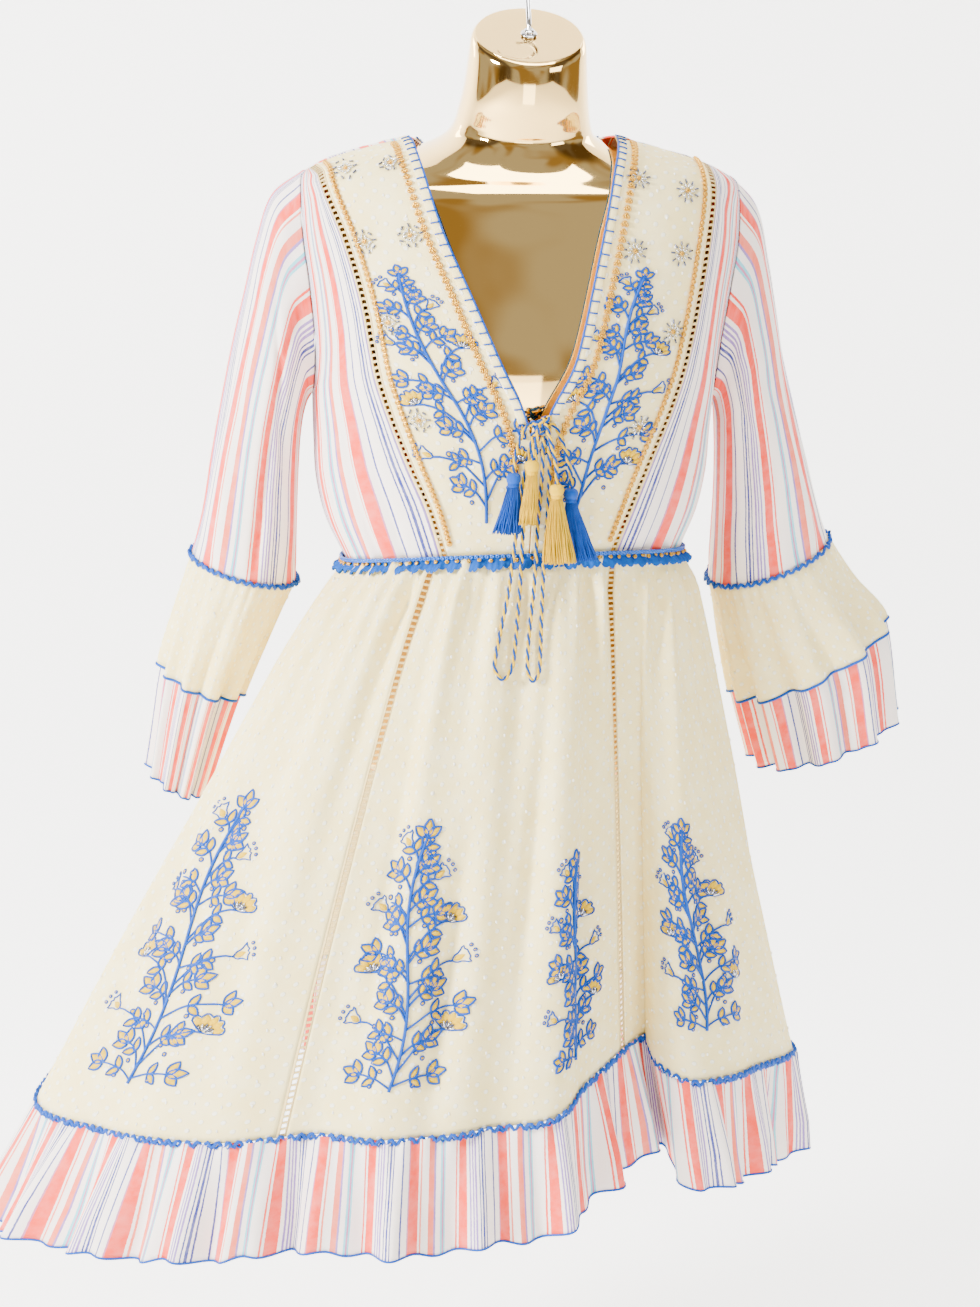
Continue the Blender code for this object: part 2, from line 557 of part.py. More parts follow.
def make_skirt():
    waist, hem, marks = skirt_columns()
    outer = skirt_grid(waist, hem)
    normals = grid_normals(outer, True, (-0.05, 0.0, -0.75))
    inner = outer - WALL * normals
    outer = np.concatenate([outer, outer[:, :1]], axis=1)
    inner = np.concatenate([inner, inner[:, :1]], axis=1)
    panel("skirt_front_left", outer, inner, marks["side_left"], marks["ladder_left"], "cream")
    panel("skirt_ladder_left", outer, inner, marks["ladder_left"], marks["ladder_left_end"], "binding")
    panel("skirt_front", outer, inner, marks["ladder_left_end"], marks["ladder_right"], "cream")
    panel("skirt_ladder_right", outer, inner, marks["ladder_right"], marks["ladder_right_end"], "binding")
    panel("skirt_front_right", outer, inner, marks["ladder_right_end"], marks["side_right"], "cream")
    panel("skirt_back", outer, inner, marks["side_right"], outer.shape[1] - 1, "cream")


def make_hem_ruffle():
    """A gathered frill below the hem seam, its waves evenly spaced along the seam."""
    fine = np.radians(np.linspace(-180, 180, 1441))
    ring = hem_ring(fine)[:, :2]
    along = np.concatenate([[0], np.cumsum(np.linalg.norm(np.diff(ring, axis=0), axis=1))])
    count = RUFFLE_WAVES * 4
    shares = np.arange(count) / count
    turn = np.interp(shares * along[-1], along, fine)
    wave = np.cos(2 * math.pi * RUFFLE_WAVES * shares + 0.9 * np.sin(2 * math.pi * 5 * shares))
    uneven = 1 + 0.3 * np.sin(2 * math.pi * 7 * shares + 1.0)
    degrees = np.degrees(turn)
    hang = 1 - RUFFLE_HANG[2] * np.exp(-((degrees - RUFFLE_HANG[0]) / RUFFLE_HANG[1]) ** 2)
    flare = RUFFLE_FLARE * hang + RUFFLE_SWEEP * np.exp(-((degrees - RUFFLE_PEAK[0]) / RUFFLE_PEAK[1]) ** 2)
    calm = 1 - RUFFLE_CALM[2] * np.exp(-((degrees - RUFFLE_CALM[0]) / RUFFLE_CALM[1]) ** 2)
    rows = []
    for drop in RUFFLE_DROPS:
        added = flare * drop + RUFFLE_WAVE * wave * uneven * calm * min(1.0, 0.15 + 1.2 * drop)
        row = hem_ring(turn, added if drop else 0.0)
        row[:, 2] -= 2 * SEAM + RUFFLE_HEIGHT * drop - 0.003 * wave * drop
        rows.append(row)
    outer = np.stack(rows)
    inner = outer - WALL * grid_normals(outer, True, (-0.05, 0.0, -1.0))
    wall_mesh("hem_ruffle", outer, inner, True, "striped")


def make_waist_trim():
    """The frilled edging that covers the waist seam."""
    turn = np.linspace(-math.pi, math.pi, TRIM_COLUMNS, endpoint=False)
    rows = []
    for outset, rise in TRIM_ROWS:
        frill = TRIM_FRILL * np.cos(math.pi * np.arange(TRIM_COLUMNS)) * (rise == TRIM_ROWS[-1][1])
        row = waist_ring(turn, outset + frill)
        row[:, 2] += rise
        rows.append(row)
    outer = np.stack(rows)
    inner = outer - TRIM_WALL * grid_normals(outer, True, (0.0, 0.0, -0.52))
    wall_mesh("waist_trim", outer, inner, True, "trim")


def oval(row, angle):
    """A ring through an outer and an inner point, with a half depth in Y."""
    outer_x, outer_z, inner_x, inner_z, centre_y, half_depth = row
    middle_x, middle_z = (outer_x + inner_x) / 2, (outer_z + inner_z) / 2
    x = middle_x + (outer_x - middle_x) * np.cos(angle)
    z = middle_z + (outer_z - middle_z) * np.cos(angle)
    return np.stack([x, centre_y - half_depth * np.sin(angle), z], axis=-1)


def make_sleeve(word, side):
    """A sleeve from the armhole to the cuff seam, with soft folds down its length."""
    count = 2 * (ARMHOLE_ROWS - 1)
    angle = np.linspace(0, 2 * math.pi, count, endpoint=False)
    start = armhole_curve(angle, side)
    start[:, 0] += side * SLEEVE_SET
    rows = [start]
    table = SLEEVE[word]
    for i, row in enumerate(table):
        ring = oval(row, angle)
        middle = ring.mean(axis=0)
        fold = SLEEVE_FOLD * (i / (len(table) - 1)) * np.cos(4 * angle + 0.5 * i)
        if i == len(table) - 1:
            fold = 0 * angle
        rows.append(middle + (ring - middle) * (1 + fold)[:, None])
    outer = np.stack(rows)
    inner = outer - WALL * sleeve_normals(outer)
    wall_mesh("sleeve_" + word, outer, inner, True, "striped")


def sleeve_normals(outer):
    """Normals of a tube, turned away from the middle of each ring."""
    across = np.roll(outer, -1, axis=1) - np.roll(outer, 1, axis=1)
    normals = np.cross(across, np.gradient(outer, axis=0))
    normals /= np.linalg.norm(normals, axis=2, keepdims=True)
    away = outer - outer.mean(axis=1, keepdims=True)
    if (normals * away).sum() < 0:
        normals = -normals
    return normals


def flounce_ring(word, share, angle, shrink):
    """A ring of the cuff flounces at a share of the way down, gathered into waves."""
    row = smooth_table(FLOUNCE[word], np.array(share))
    ring = oval(row, angle)
    middle = ring.mean(axis=0)
    away = ring - middle
    size = np.linalg.norm(away, axis=1, keepdims=True)
    wave = CUFF_WAVE * min(1.0, share * 1.1) * np.cos(CUFF_WAVES * angle + 0.8 * np.sin(2 * angle))
    return middle + away * (1 + (wave[:, None] - shrink) / size)


def make_flounces(word):
    """The cream flounce at the cuff, and the striped one sewn inside its lower edge."""
    count = CUFF_WAVES * 4
    angle = np.linspace(0, 2 * math.pi, count, endpoint=False)
    table = FLOUNCE[word]
    down = table[1, [1, 2]] - table[0, [1, 2]]
    down /= np.linalg.norm(down)
    rows = [flounce_ring(word, share, angle, 0.0) for share in FLOUNCE_ROWS]
    rows[0] = rows[0] + np.array([down[0], 0.0, down[1]]) * FLOUNCE_SET
    outer = np.stack(rows)
    inner = outer - WALL * sleeve_normals(outer)
    wall_mesh("cuff_flounce_" + word, outer, inner, True, "cream")
    tuck = FRILL_TUCK[word]
    rows = [flounce_ring(word, share, angle, tuck) for share in FRILL_ROWS]
    outer = np.stack(rows)
    inner = outer - WALL * sleeve_normals(outer)
    wall_mesh("cuff_frill_" + word, outer, inner, True, "striped")


def make_form():
    """The torso form: neck cap, neck, shoulders under the cloth, and a plain closed end."""
    count = 32
    angle = np.linspace(0, 2 * math.pi, count, endpoint=False)
    rings = []
    for z, y, half, depth, tilt in NECK:
        lean = math.radians(tilt)
        x = half * np.sin(angle)
        forward = depth * np.cos(angle)
        rings.append(np.stack([x, y - forward * math.cos(lean), z - forward * math.sin(lean)], axis=-1))
    for row in FIGURE:
        rings.append(form_ring(angle, row[1:], row[0]))
    points = np.concatenate(rings + [np.array([[0, NECK[0, 1], NECK[0, 0]], [0, 0, FIGURE[-1, 0]]])])
    top, foot = len(rings) * count, len(rings) * count + 1
    faces = []
    for i in range(len(rings) - 1):
        for j in range(count):
            a, b = i * count + j, i * count + (j + 1) % count
            faces.append((a, b, b + count, a + count))
    last = (len(rings) - 1) * count
    for j in range(count):
        faces.append((top, (j + 1) % count, j))
        faces.append((foot, last + j, last + (j + 1) % count))
    add_mesh("form", points, faces, "gold")


def form_ring(angle, sizes, z):
    half, front, rear = sizes
    power = 2.0 / SQUARENESS
    x = half * np.sign(np.sin(angle)) * np.abs(np.sin(angle)) ** power
    run = np.sign(np.cos(angle)) * np.abs(np.cos(angle)) ** power
    y = np.where(run > 0, -front * run, -rear * run)
    return np.stack([x, y, z + 0 * x], axis=-1)


def swept(name, path, radii, sides, finish):
    """A round bar along a path of points."""
    path = np.asarray(path, float)
    ahead = np.gradient(path, axis=0)
    ahead /= np.linalg.norm(ahead, axis=1, keepdims=True)
    radii = np.asarray(radii, float)
    reference = np.array([0.0, 1.0, 0.0])
    across = np.cross(ahead, reference)
    across /= np.linalg.norm(across, axis=1, keepdims=True)
    up = np.cross(across, ahead)
    angle = np.linspace(0, 2 * math.pi, sides, endpoint=False)
    rings = (path[:, None] + radii[:, None, None] * (np.cos(angle)[None, :, None] * across[:, None]
             + np.sin(angle)[None, :, None] * up[:, None]))
    points = rings.reshape(-1, 3)
    faces = []
    for i in range(len(path) - 1):
        for j in range(sides):
            a, b = i * sides + j, i * sides + (j + 1) % sides
            faces.append((a, b, b + sides, a + sides))
    first, last, base = len(points), len(points) + 1, (len(path) - 1) * sides
    for j in range(sides):
        faces.append((first, (j + 1) % sides, j))
        faces.append((last, base + j, base + (j + 1) % sides))
    return add_mesh(name, np.concatenate([points, path[[0, -1]]]), faces, finish)


def make_hook():
    """The chrome hook: a washer on the neck cap, a rod, and a round hook over the rail."""
    lean = math.radians(CAP_TILT)
    seat = np.array([0.0, NECK[0, 1], NECK[0, 0]])
    up = np.array([0.0, -math.sin(lean), math.cos(lean)])
    path, radii = [], []
    for height, radius in HOOK_FOOT:
        path.append(seat + up * height)
        radii.append(radius)
    rod_top = -2 * HOOK_RADIUS + 0.004
    foot = path[-1]
    for share in ROD_SHARES:
        path.append(np.array([0.0, foot[1] * (1 - share), foot[2] + (rod_top - foot[2]) * share]))
        radii.append(ROD_RADIUS)
    centre = np.array([0.0, 0.0, -HOOK_RADIUS])
    for degrees in range(-150, 91, 20):
        angle = math.radians(degrees)
        path.append(centre + HOOK_RADIUS * np.array([-math.sin(angle), 0.0, math.cos(angle)])
                    + np.array([0.0, 0.0, ROD_RADIUS]))
        radii.append(ROD_RADIUS)
    swept("form_hook", path, radii, 8, "chrome")


def cloth_front(x, z):
    """Y of the outer cloth in front at X and Z, on the bodice or on the skirt."""
    x, z = np.asarray(x, float), np.asarray(z, float)
    height = np.maximum(z, CLOTH[-1, 0])
    bodice = section_point(CLOTH, turn_at(CLOTH, x, height), height, False)[..., 1]
    turn = np.radians(np.linspace(-60, 60, 121))
    grid = skirt_grid(turn, turn * 1.1)
    waist = WAIST_Z + WAIST_RISE
    level = np.clip((z - waist) / (HEM_Z - waist), 0, 1)
    skirt = np.empty(x.shape)
    for index in np.ndindex(x.shape):
        share = level[index] * (SKIRT_ROWS - 1)
        low = min(int(share), SKIRT_ROWS - 2)
        row = grid[low] + (grid[low + 1] - grid[low]) * (share - low)
        skirt[index] = np.interp(x[index], row[:, 0], row[:, 1])
    return np.where(z > waist, bodice, np.minimum(skirt, -CLOTH[-1, 2]))


def smooth_route(points, spacing):
    """Points at even steps along a smooth curve through the route's own points."""
    points = np.asarray(points, float)
    padded = np.concatenate([[2 * points[0] - points[1]], points, [2 * points[-1] - points[-2]]])
    dense = []
    for i in range(1, len(padded) - 2):
        a, b, c, d = padded[i - 1:i + 3]
        for t in np.linspace(0, 1, 12, endpoint=False):
            dense.append(0.5 * ((2 * b) + (c - a) * t + (2 * a - 5 * b + 4 * c - d) * t ** 2
                                + (3 * b - a - 3 * c + d) * t ** 3))
    dense.append(points[-1])
    dense = np.array(dense)
    along = np.concatenate([[0], np.cumsum(np.linalg.norm(np.diff(dense, axis=0), axis=1))])
    count = max(3, int(round(along[-1] / spacing)) + 1)
    marks = np.linspace(0, along[-1], count)
    return np.stack([np.interp(marks, along, dense[:, k]) for k in range(3)], axis=-1)


def cord(name, route, spacing=0.0108):
    """A free run of the tie as a bevelled curve with filled caps."""
    points = smooth_route(route, spacing)
    curve = bpy.data.curves.new(name, "CURVE")
    curve.dimensions = "3D"
    curve.bevel_depth = CORD_WIDTH / 2
    curve.bevel_resolution = 2
    curve.use_fill_caps = True
    spline = curve.splines.new("POLY")
    spline.points.add(len(points) - 1)
    for point, place in zip(spline.points, points):
        point.co = (*place, 1.0)
    made = bpy.data.objects.new(name, curve)
    curve.materials.append(material("trim"))
    bpy.context.collection.objects.link(made)
    return made


def in_front(rows):
    """Route rows turned into points that stand in front of the cloth."""
    rows = np.asarray(rows, float)
    y = cloth_front(rows[:, 0], rows[:, 2])
    return np.stack([rows[:, 0], y - rows[:, 1], rows[:, 2]], axis=-1)


def make_tassel(name, x, y, z, spread, lean, length):
    """A bound head whose foot is divided into cells, each drawn down into a thread."""
    finish = "yellow" if "yellow" in name else "trim"
    top = np.array([x, y, z])
    angle = np.linspace(0, 2 * math.pi, TASSEL_SIDES, endpoint=False)
    circle = np.stack([np.cos(angle), np.sin(angle), 0 * angle], axis=-1)
    build = bmesh.new()
    rings = []
    for drop, share in TASSEL_PROFILE:
        ring = top + circle * TASSEL_HEAD * share - np.array([0, 0, drop])
        rings.append([build.verts.new(point) for point in ring])
    for upper, lower in zip(rings, rings[1:]):
        for j in range(TASSEL_SIDES):
            following = (j + 1) % TASSEL_SIDES
            build.faces.new((upper[j], upper[following], lower[following], lower[j]))
    build.faces.new(rings[0][::-1])
    outer = rings[-1]
    drop, share = TASSEL_PROFILE[-1]
    inside = top + circle * TASSEL_HEAD * share * 0.5 - np.array([0, 0, drop])
    inner = [build.verts.new(point) for point in inside]
    centre = build.verts.new(top - np.array([0, 0, drop]))
    cells = []
    for j in range(TASSEL_SIDES):
        following = (j + 1) % TASSEL_SIDES
        cells.append(build.faces.new((outer[j], outer[following], inner[following], inner[j])))
    for j in range(0, TASSEL_SIDES, 2):
        cells.append(build.faces.new((inner[j], inner[j + 1], inner[(j + 2) % TASSEL_SIDES], centre)))
    build.normal_update()
    bmesh.ops.inset_individual(build, faces=cells, thickness=TASSEL_GAP)
    grown = bmesh.ops.extrude_discrete_faces(build, faces=cells)["faces"]
    widen = spread / (TASSEL_HEAD * share)
    for k, face in enumerate(grown):
        middle = np.array(face.calc_center_median())
        away = middle - top
        foot = top + np.array([away[0] * widen + lean, away[1] * widen * TASSEL_THREAD[0],
                               -length + TASSEL_UNEVEN * math.cos(5.0 * k)])
        for corner in face.verts:
            grow = np.array([widen * TASSEL_THREAD[0], widen * TASSEL_THREAD[1], 1.0])
            corner.co = foot + (np.array(corner.co) - middle) * grow
    bmesh.ops.recalc_face_normals(build, faces=build.faces)
    mesh = bpy.data.meshes.new(name)
    build.to_mesh(mesh)
    build.free()
    mesh.materials.append(material(finish))
    bpy.context.collection.objects.link(bpy.data.objects.new(name, mesh))


def make_knot():
    """The knot of the tie, a flattened barrel on the meeting of the neck edges."""
    sides = 12
    angle = np.linspace(0, 2 * math.pi, sides, endpoint=False)
    rings = []
    for height, share in KNOT_PROFILE:
        rings.append(np.array(KNOT) + np.stack([KNOT_WIDTH * share * np.cos(angle),
                                                KNOT_DEPTH * share * np.sin(angle),
                                                height + 0 * angle], axis=-1))
    points = np.concatenate(rings)
    faces = []
    for i in range(len(rings) - 1):
        for j in range(sides):
            a, b = i * sides + j, i * sides + (j + 1) % sides
            faces.append((a, b, b + sides, a + sides))
    faces.append(tuple(range(sides))[::-1])
    faces.append(tuple((len(rings) - 1) * sides + j for j in range(sides)))
    add_mesh("tie_knot", points, faces, "trim")


def make_tie():
    make_knot()
    cord("tie_loop_left", in_front(LOOP_LEFT))
    cord("tie_loop_right", in_front(LOOP_RIGHT))
    for name, route in TIE_ENDS:
        cord(name, route, 0.006)
    for row in TASSELS:
        make_tassel(*row)


def main():
    clear_scene()
    make_form()
    make_hook()
    make_bodice()
    make_waist_trim()
    make_skirt()
    make_hem_ruffle()
    for side, word in ((-1, "left"), (1, "right")):
        make_sleeve(word, side)
        make_flounces(word)
    make_tie()


main()
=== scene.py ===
import math
import bpy
import numpy as np
from mathutils import Matrix


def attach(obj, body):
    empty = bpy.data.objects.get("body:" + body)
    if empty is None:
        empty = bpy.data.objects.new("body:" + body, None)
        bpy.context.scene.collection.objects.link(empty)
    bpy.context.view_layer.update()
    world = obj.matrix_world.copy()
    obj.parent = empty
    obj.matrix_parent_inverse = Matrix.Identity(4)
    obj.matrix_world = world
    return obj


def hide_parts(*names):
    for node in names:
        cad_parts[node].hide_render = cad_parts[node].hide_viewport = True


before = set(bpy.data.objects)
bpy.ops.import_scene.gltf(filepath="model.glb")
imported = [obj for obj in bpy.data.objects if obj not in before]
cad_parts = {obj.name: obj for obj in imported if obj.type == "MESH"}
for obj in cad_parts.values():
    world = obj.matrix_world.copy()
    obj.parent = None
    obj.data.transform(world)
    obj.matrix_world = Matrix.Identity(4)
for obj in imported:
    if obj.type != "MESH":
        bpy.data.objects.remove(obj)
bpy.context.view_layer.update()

# Camera, light and floor. The dress is seen from a little to its left and from above, on a
# pale sweep of paper, in large soft lights, with darker sides that the gold form mirrors.
PHOTO_WIDTH, PHOTO_HEIGHT, FOCAL_PIXELS = 980, 1307, 3581.7
CAMERA_RIGHT = (0.99308335, -0.11364957, 0.02948277)
CAMERA_UP = (0.00234891, 0.27028699, 0.96277693)
CAMERA_BACK = (-0.11738799, -0.95604849, 0.26868447)
CAMERA_PLACE = (-0.37751858, -2.97617602, 0.215)
lens = bpy.data.cameras.new("photo_camera")
lens.sensor_width = 36.0
lens.lens = FOCAL_PIXELS / PHOTO_HEIGHT * lens.sensor_width
camera = bpy.data.objects.new("photo_camera", lens)
camera.matrix_world = Matrix([[CAMERA_RIGHT[k], CAMERA_UP[k], CAMERA_BACK[k], CAMERA_PLACE[k]]
                              for k in range(3)] + [[0, 0, 0, 1]])
bpy.context.collection.objects.link(camera)
bpy.context.scene.camera = camera

# Lights: place, point aimed at, side in metres, watts.
LIGHTS = [((-2.9, -1.5, 0.7), (0, 0, -0.6), 0.9, 400), ((2.3, -2.2, 0.3), (0, 0, -0.6), 1.3, 40),
          ((0.2, -0.5, 2.0), (0, 0, -0.5), 1.4, 80), ((-1.7, 2.0, 0.4), (0, 0, -0.6), 1.4, 75),
          ((1.9, 1.9, 0.6), (0, 0, -0.6), 1.4, 75), ((0.0, -2.6, -1.2), (0, 0, -0.7), 1.0, 14)]
for number, (place, aim, side, watts) in enumerate(LIGHTS):
    light = bpy.data.lights.new(f"soft_light_{number}", "AREA")
    light.size, light.energy = side, watts
    holder = bpy.data.objects.new(f"soft_light_{number}", light)
    back = np.subtract(place, aim) / np.linalg.norm(np.subtract(place, aim))
    across = np.cross((0, 0, 1), back)
    across /= np.linalg.norm(across)
    up = np.cross(back, across)
    holder.matrix_world = Matrix([[across[k], up[k], back[k], place[k]] for k in range(3)] + [[0, 0, 0, 1]])
    bpy.context.collection.objects.link(holder)


class Shade:
    """One socket of a material. Sums, products and powers of these add their Math nodes."""

    def __init__(self, tree, socket):
        self.tree, self.socket = tree, socket

    def node(self, kind, settings=(), sockets=(), output=0):
        """A node of a kind: its settings first, then values or links for its sockets."""
        made = self.tree.nodes.new(kind)
        for name, value in dict(settings).items():
            if name == "stops":
                ramp = made.color_ramp
                while len(ramp.elements) < len(value):
                    ramp.elements.new(0.5)
                for stop, (place, colour) in zip(ramp.elements, value):
                    stop.position, stop.color = place, (*colour[:3], 1.0)
            elif name == "steps":
                made.color_ramp.interpolation = value
            else:
                setattr(made, name, value)
        for name, value in dict(sockets).items():
            if isinstance(value, Shade):
                self.tree.links.new(value.socket, made.inputs[name])
            else:
                made.inputs[name].default_value = value
        return Shade(self.tree, made.outputs[output])

    def math(self, operation, *others):
        values = {k + 1: other for k, other in enumerate(others)}
        return self.node("ShaderNodeMath", {"operation": operation}, {0: self, **values})

    def __add__(self, other):
        return self.math("ADD", other)

    def __mul__(self, other):
        return self.math("MULTIPLY", other)

    def __sub__(self, other):
        return self.math("SUBTRACT", other)

    def __rsub__(self, other):
        return (self * -1.0) + other

    def __pow__(self, other):
        return self.math("POWER", other)

    __radd__, __rmul__ = __add__, __mul__

    def split(self, axis):
        """X, Y or Z of a vector, by its number."""
        return self.node("ShaderNodeSeparateXYZ", {}, {0: self}, axis)

    def noise(self, scale, detail=2.0, roughness=0.5):
        return self.node("ShaderNodeTexNoise", {}, {"Vector": self, "Scale": scale, "Detail": detail,
                                                    "Roughness": roughness})

    def mixed(self, first, second):
        """Colours mixed by this factor."""
        def colour(value):
            return value if isinstance(value, Shade) else (*value[:3], 1.0)
        return self.node("ShaderNodeMix", {"data_type": "RGBA"}, {0: self, 6: colour(first),
                                                                  7: colour(second)}, 2)

    def soft_step(self, low, high):
        """0 below low and 1 above high, with a smooth ramp between."""
        return self.node("ShaderNodeMapRange", {"interpolation_type": "SMOOTHSTEP"},
                         {"Value": self, "From Min": low, "From Max": high})


def new_finish(name, colour, roughness=0.8, metallic=0.0, sheen=0.0, coordinates="UV"):
    """A Principled material with constants on its own sockets, and its coordinates as a Shade."""
    made = bpy.data.materials.new(name)
    made.use_nodes = True
    shader = made.node_tree.nodes["Principled BSDF"]
    shader.inputs["Base Color"].default_value = (*colour, 1.0)
    shader.inputs["Roughness"].default_value = roughness
    shader.inputs["Metallic"].default_value = metallic
    shader.inputs["Sheen Weight"].default_value = sheen
    shader.inputs["Specular IOR Level"].default_value = 0.5 if metallic else 0.15
    place = made.node_tree.nodes.new("ShaderNodeTexCoord").outputs[coordinates]
    return made, shader, Shade(made.node_tree, place)


def feed(shader, name, shade):
    shade.tree.links.new(shade.socket, shader.inputs[name])


def raised(shader, height, distance, strength=1.0):
    """Bump from a height pattern, distance in metres."""
    feed(shader, "Normal", height.node("ShaderNodeBump", {}, {"Height": height, "Distance": distance,
                                                              "Strength": strength}))


world = bpy.data.worlds.new("studio")
world.use_nodes = True
bpy.context.scene.world = world
studio = world.node_tree
direction = Shade(studio, studio.nodes.new("ShaderNodeTexCoord").outputs["Generated"])
room = direction.noise(2.3, 1.0).soft_step(0.40, 0.56)
side_dark = direction.split(0).math("ABSOLUTE").soft_step(0.45, 0.60)
side_dark = side_dark * (1 - direction.split(0).math("ABSOLUTE").soft_step(0.80, 0.92))
room_colour = room.mixed((0.62, 0.43, 0.16), (1.0, 0.98, 0.93))
studio_colour = (side_dark * 0.85).mixed(room_colour, (0.10, 0.06, 0.03))
studio.links.new(studio_colour.socket, studio.nodes["Background"].inputs["Color"])
studio.nodes["Background"].inputs["Strength"].default_value = 0.60

FLOOR_Z, SWEEP_Y, SWEEP_RADIUS = -1.42, 1.9, 0.9
bend = np.linspace(0, math.pi / 2, 13)
profile = np.array([(-5.5, FLOOR_Z), (SWEEP_Y - SWEEP_RADIUS, FLOOR_Z)]
                   + [(SWEEP_Y - SWEEP_RADIUS + SWEEP_RADIUS * math.sin(a),
                       FLOOR_Z + SWEEP_RADIUS * (1 - math.cos(a))) for a in bend[1:]] + [(SWEEP_Y, 3.2)])
floor_mesh = bpy.data.meshes.new("floor_sweep")
floor_points = [(x, y, z) for y, z in profile for x in (-5.0, 5.0)]
floor_mesh.from_pydata(floor_points, [], [(2 * k, 2 * k + 1, 2 * k + 3, 2 * k + 2)
                                          for k in range(len(profile) - 1)])
floor_mesh.shade_smooth()
floor = bpy.data.objects.new("floor_sweep", floor_mesh)
bpy.context.collection.objects.link(floor)
paper, shader, _ = new_finish("paper", (0.93, 0.925, 0.915), 0.9)
shader.inputs["Emission Color"].default_value = (1.0, 0.99, 0.975, 1.0)
shader.inputs["Emission Strength"].default_value = 1.7
floor_mesh.materials.append(paper)

# Tie: a cord of a blue and a yellow strand twisted together, knotted where the neck edges
# meet. Its bow loops hang down the front, and each short end carries a tassel.
CORD_WIDTH, TWIST_PITCH = 0.0036, 0.0125
STRAND_RADIUS, STRAND_OFFSET = 0.00098, 0.00088
LOOPS = {
    "loop_left": [
        (0.0015, -0.1335, -0.4000), (-0.003, -0.1313, -0.425), (-0.006, -0.1277, -0.452),
        (-0.008, -0.1248, -0.478), (-0.011, -0.1281, -0.504), (-0.015, -0.1356, -0.532),
        (-0.021, -0.1427, -0.560), (-0.026, -0.1513, -0.583), (-0.0265, -0.1545, -0.592),
        (-0.020, -0.1571, -0.600), (-0.0125, -0.1535, -0.591), (-0.0095, -0.1479, -0.575),
        (-0.007, -0.1395, -0.546), (-0.005, -0.1339, -0.523), (-0.004, -0.1283, -0.504),
        (-0.0025, -0.1248, -0.478), (0.0015, -0.128, -0.450), (0.004, -0.1313, -0.425),
        (0.0057, -0.1335, -0.4000)],
    "loop_right": [
        (0.0101, -0.1334, -0.4000), (0.0105, -0.1308, -0.428), (0.010, -0.1271, -0.456),
        (0.009, -0.1244, -0.480), (0.008, -0.1282, -0.504), (0.0062, -0.1344, -0.530),
        (0.003, -0.1414, -0.560), (0.001, -0.1491, -0.582), (0.0012, -0.1528, -0.594),
        (0.0055, -0.1547, -0.602), (0.0105, -0.1519, -0.595), (0.012, -0.1464, -0.578),
        (0.0128, -0.1391, -0.550), (0.0138, -0.1335, -0.524), (0.015, -0.128, -0.504),
        (0.0165, -0.1242, -0.480), (0.017, -0.1276, -0.450), (0.0162, -0.1309, -0.425),
        (0.0143, -0.1333, -0.4000)]}
# The short ends begin inside the knot.
ENDS = {
    "end_1": [(0.0062, -0.1330, -0.3890), (0.0045, -0.1384, -0.3905), (0.0038, -0.1433, -0.3960),
              (0.0010, -0.1449, -0.4080), (0.0, -0.1451, -0.4180)],
    "end_2": [(0.0030, -0.1318, -0.3900), (-0.0035, -0.1321, -0.3915), (-0.0090, -0.1336, -0.4020),
              (-0.0130, -0.1371, -0.4160), (-0.0140, -0.1383, -0.4300)],
    "end_3": [(0.0098, -0.1330, -0.3890), (0.0115, -0.1384, -0.3905), (0.0135, -0.1433, -0.3970),
              (0.0170, -0.1445, -0.4090), (0.0200, -0.1449, -0.4240), (0.0210, -0.1449, -0.4380)],
    "end_4": [(0.0130, -0.1318, -0.3900), (0.0195, -0.1321, -0.3915), (0.0265, -0.1341, -0.4060),
              (0.0325, -0.1366, -0.4260), (0.0340, -0.1371, -0.4430)]}


def smoothed(grid, count, closed=False):
    """The grid carried to count rows: between two rows a point runs on a cubic through four."""
    last = len(grid) if closed else len(grid) - 1
    place = np.linspace(0, last, count, endpoint=not closed)
    row = np.minimum(place.astype(int), last - 1)
    t = (place - row).reshape(-1, *[1] * (grid.ndim - 1))
    if closed:
        a, b, c, d = [grid[(row + k) % len(grid)] for k in (-1, 0, 1, 2)]
    else:
        padded = np.concatenate([[2 * grid[0] - grid[1]], grid, [2 * grid[-1] - grid[-2]]])
        a, b, c, d = [padded[row + k] for k in (0, 1, 2, 3)]
    return 0.5 * (2 * b + (c - a) * t + (2 * a - 5 * b + 4 * c - d) * t ** 2
                  + (3 * b - a - 3 * c + d) * t ** 3)


def evenly(route, step):
    """Points at even steps along the smooth curve through a route."""
    dense = smoothed(np.asarray(route, float), 16 * len(route))
    along = np.concatenate([[0], np.cumsum(np.linalg.norm(np.diff(dense, axis=0), axis=1))])
    marks = np.linspace(0, along[-1], max(3, int(round(along[-1] / step)) + 1))
    return np.stack([np.interp(marks, along, dense[:, k]) for k in range(3)], axis=-1)


def tube_points(path, radius, sides, closed=False):
    """Rings round a path: path + radius (cos a across + sin a up), across and up square to it."""
    path = np.asarray(path, float)
    ahead = np.roll(path, -1, 0) - np.roll(path, 1, 0) if closed else np.gradient(path, axis=0)
    ahead = ahead / np.linalg.norm(ahead, axis=1, keepdims=True)
    across = np.cross(ahead, (0.13, 0.98, 0.11))
    across /= np.linalg.norm(across, axis=1, keepdims=True)
    up = np.cross(across, ahead)
    a = np.linspace(0, 2 * math.pi, sides, endpoint=False)[:, None]
    ring = np.cos(a) * across[:, None] + np.sin(a) * up[:, None]
    return path[:, None] + np.reshape(radius, (-1, 1, 1)) * ring


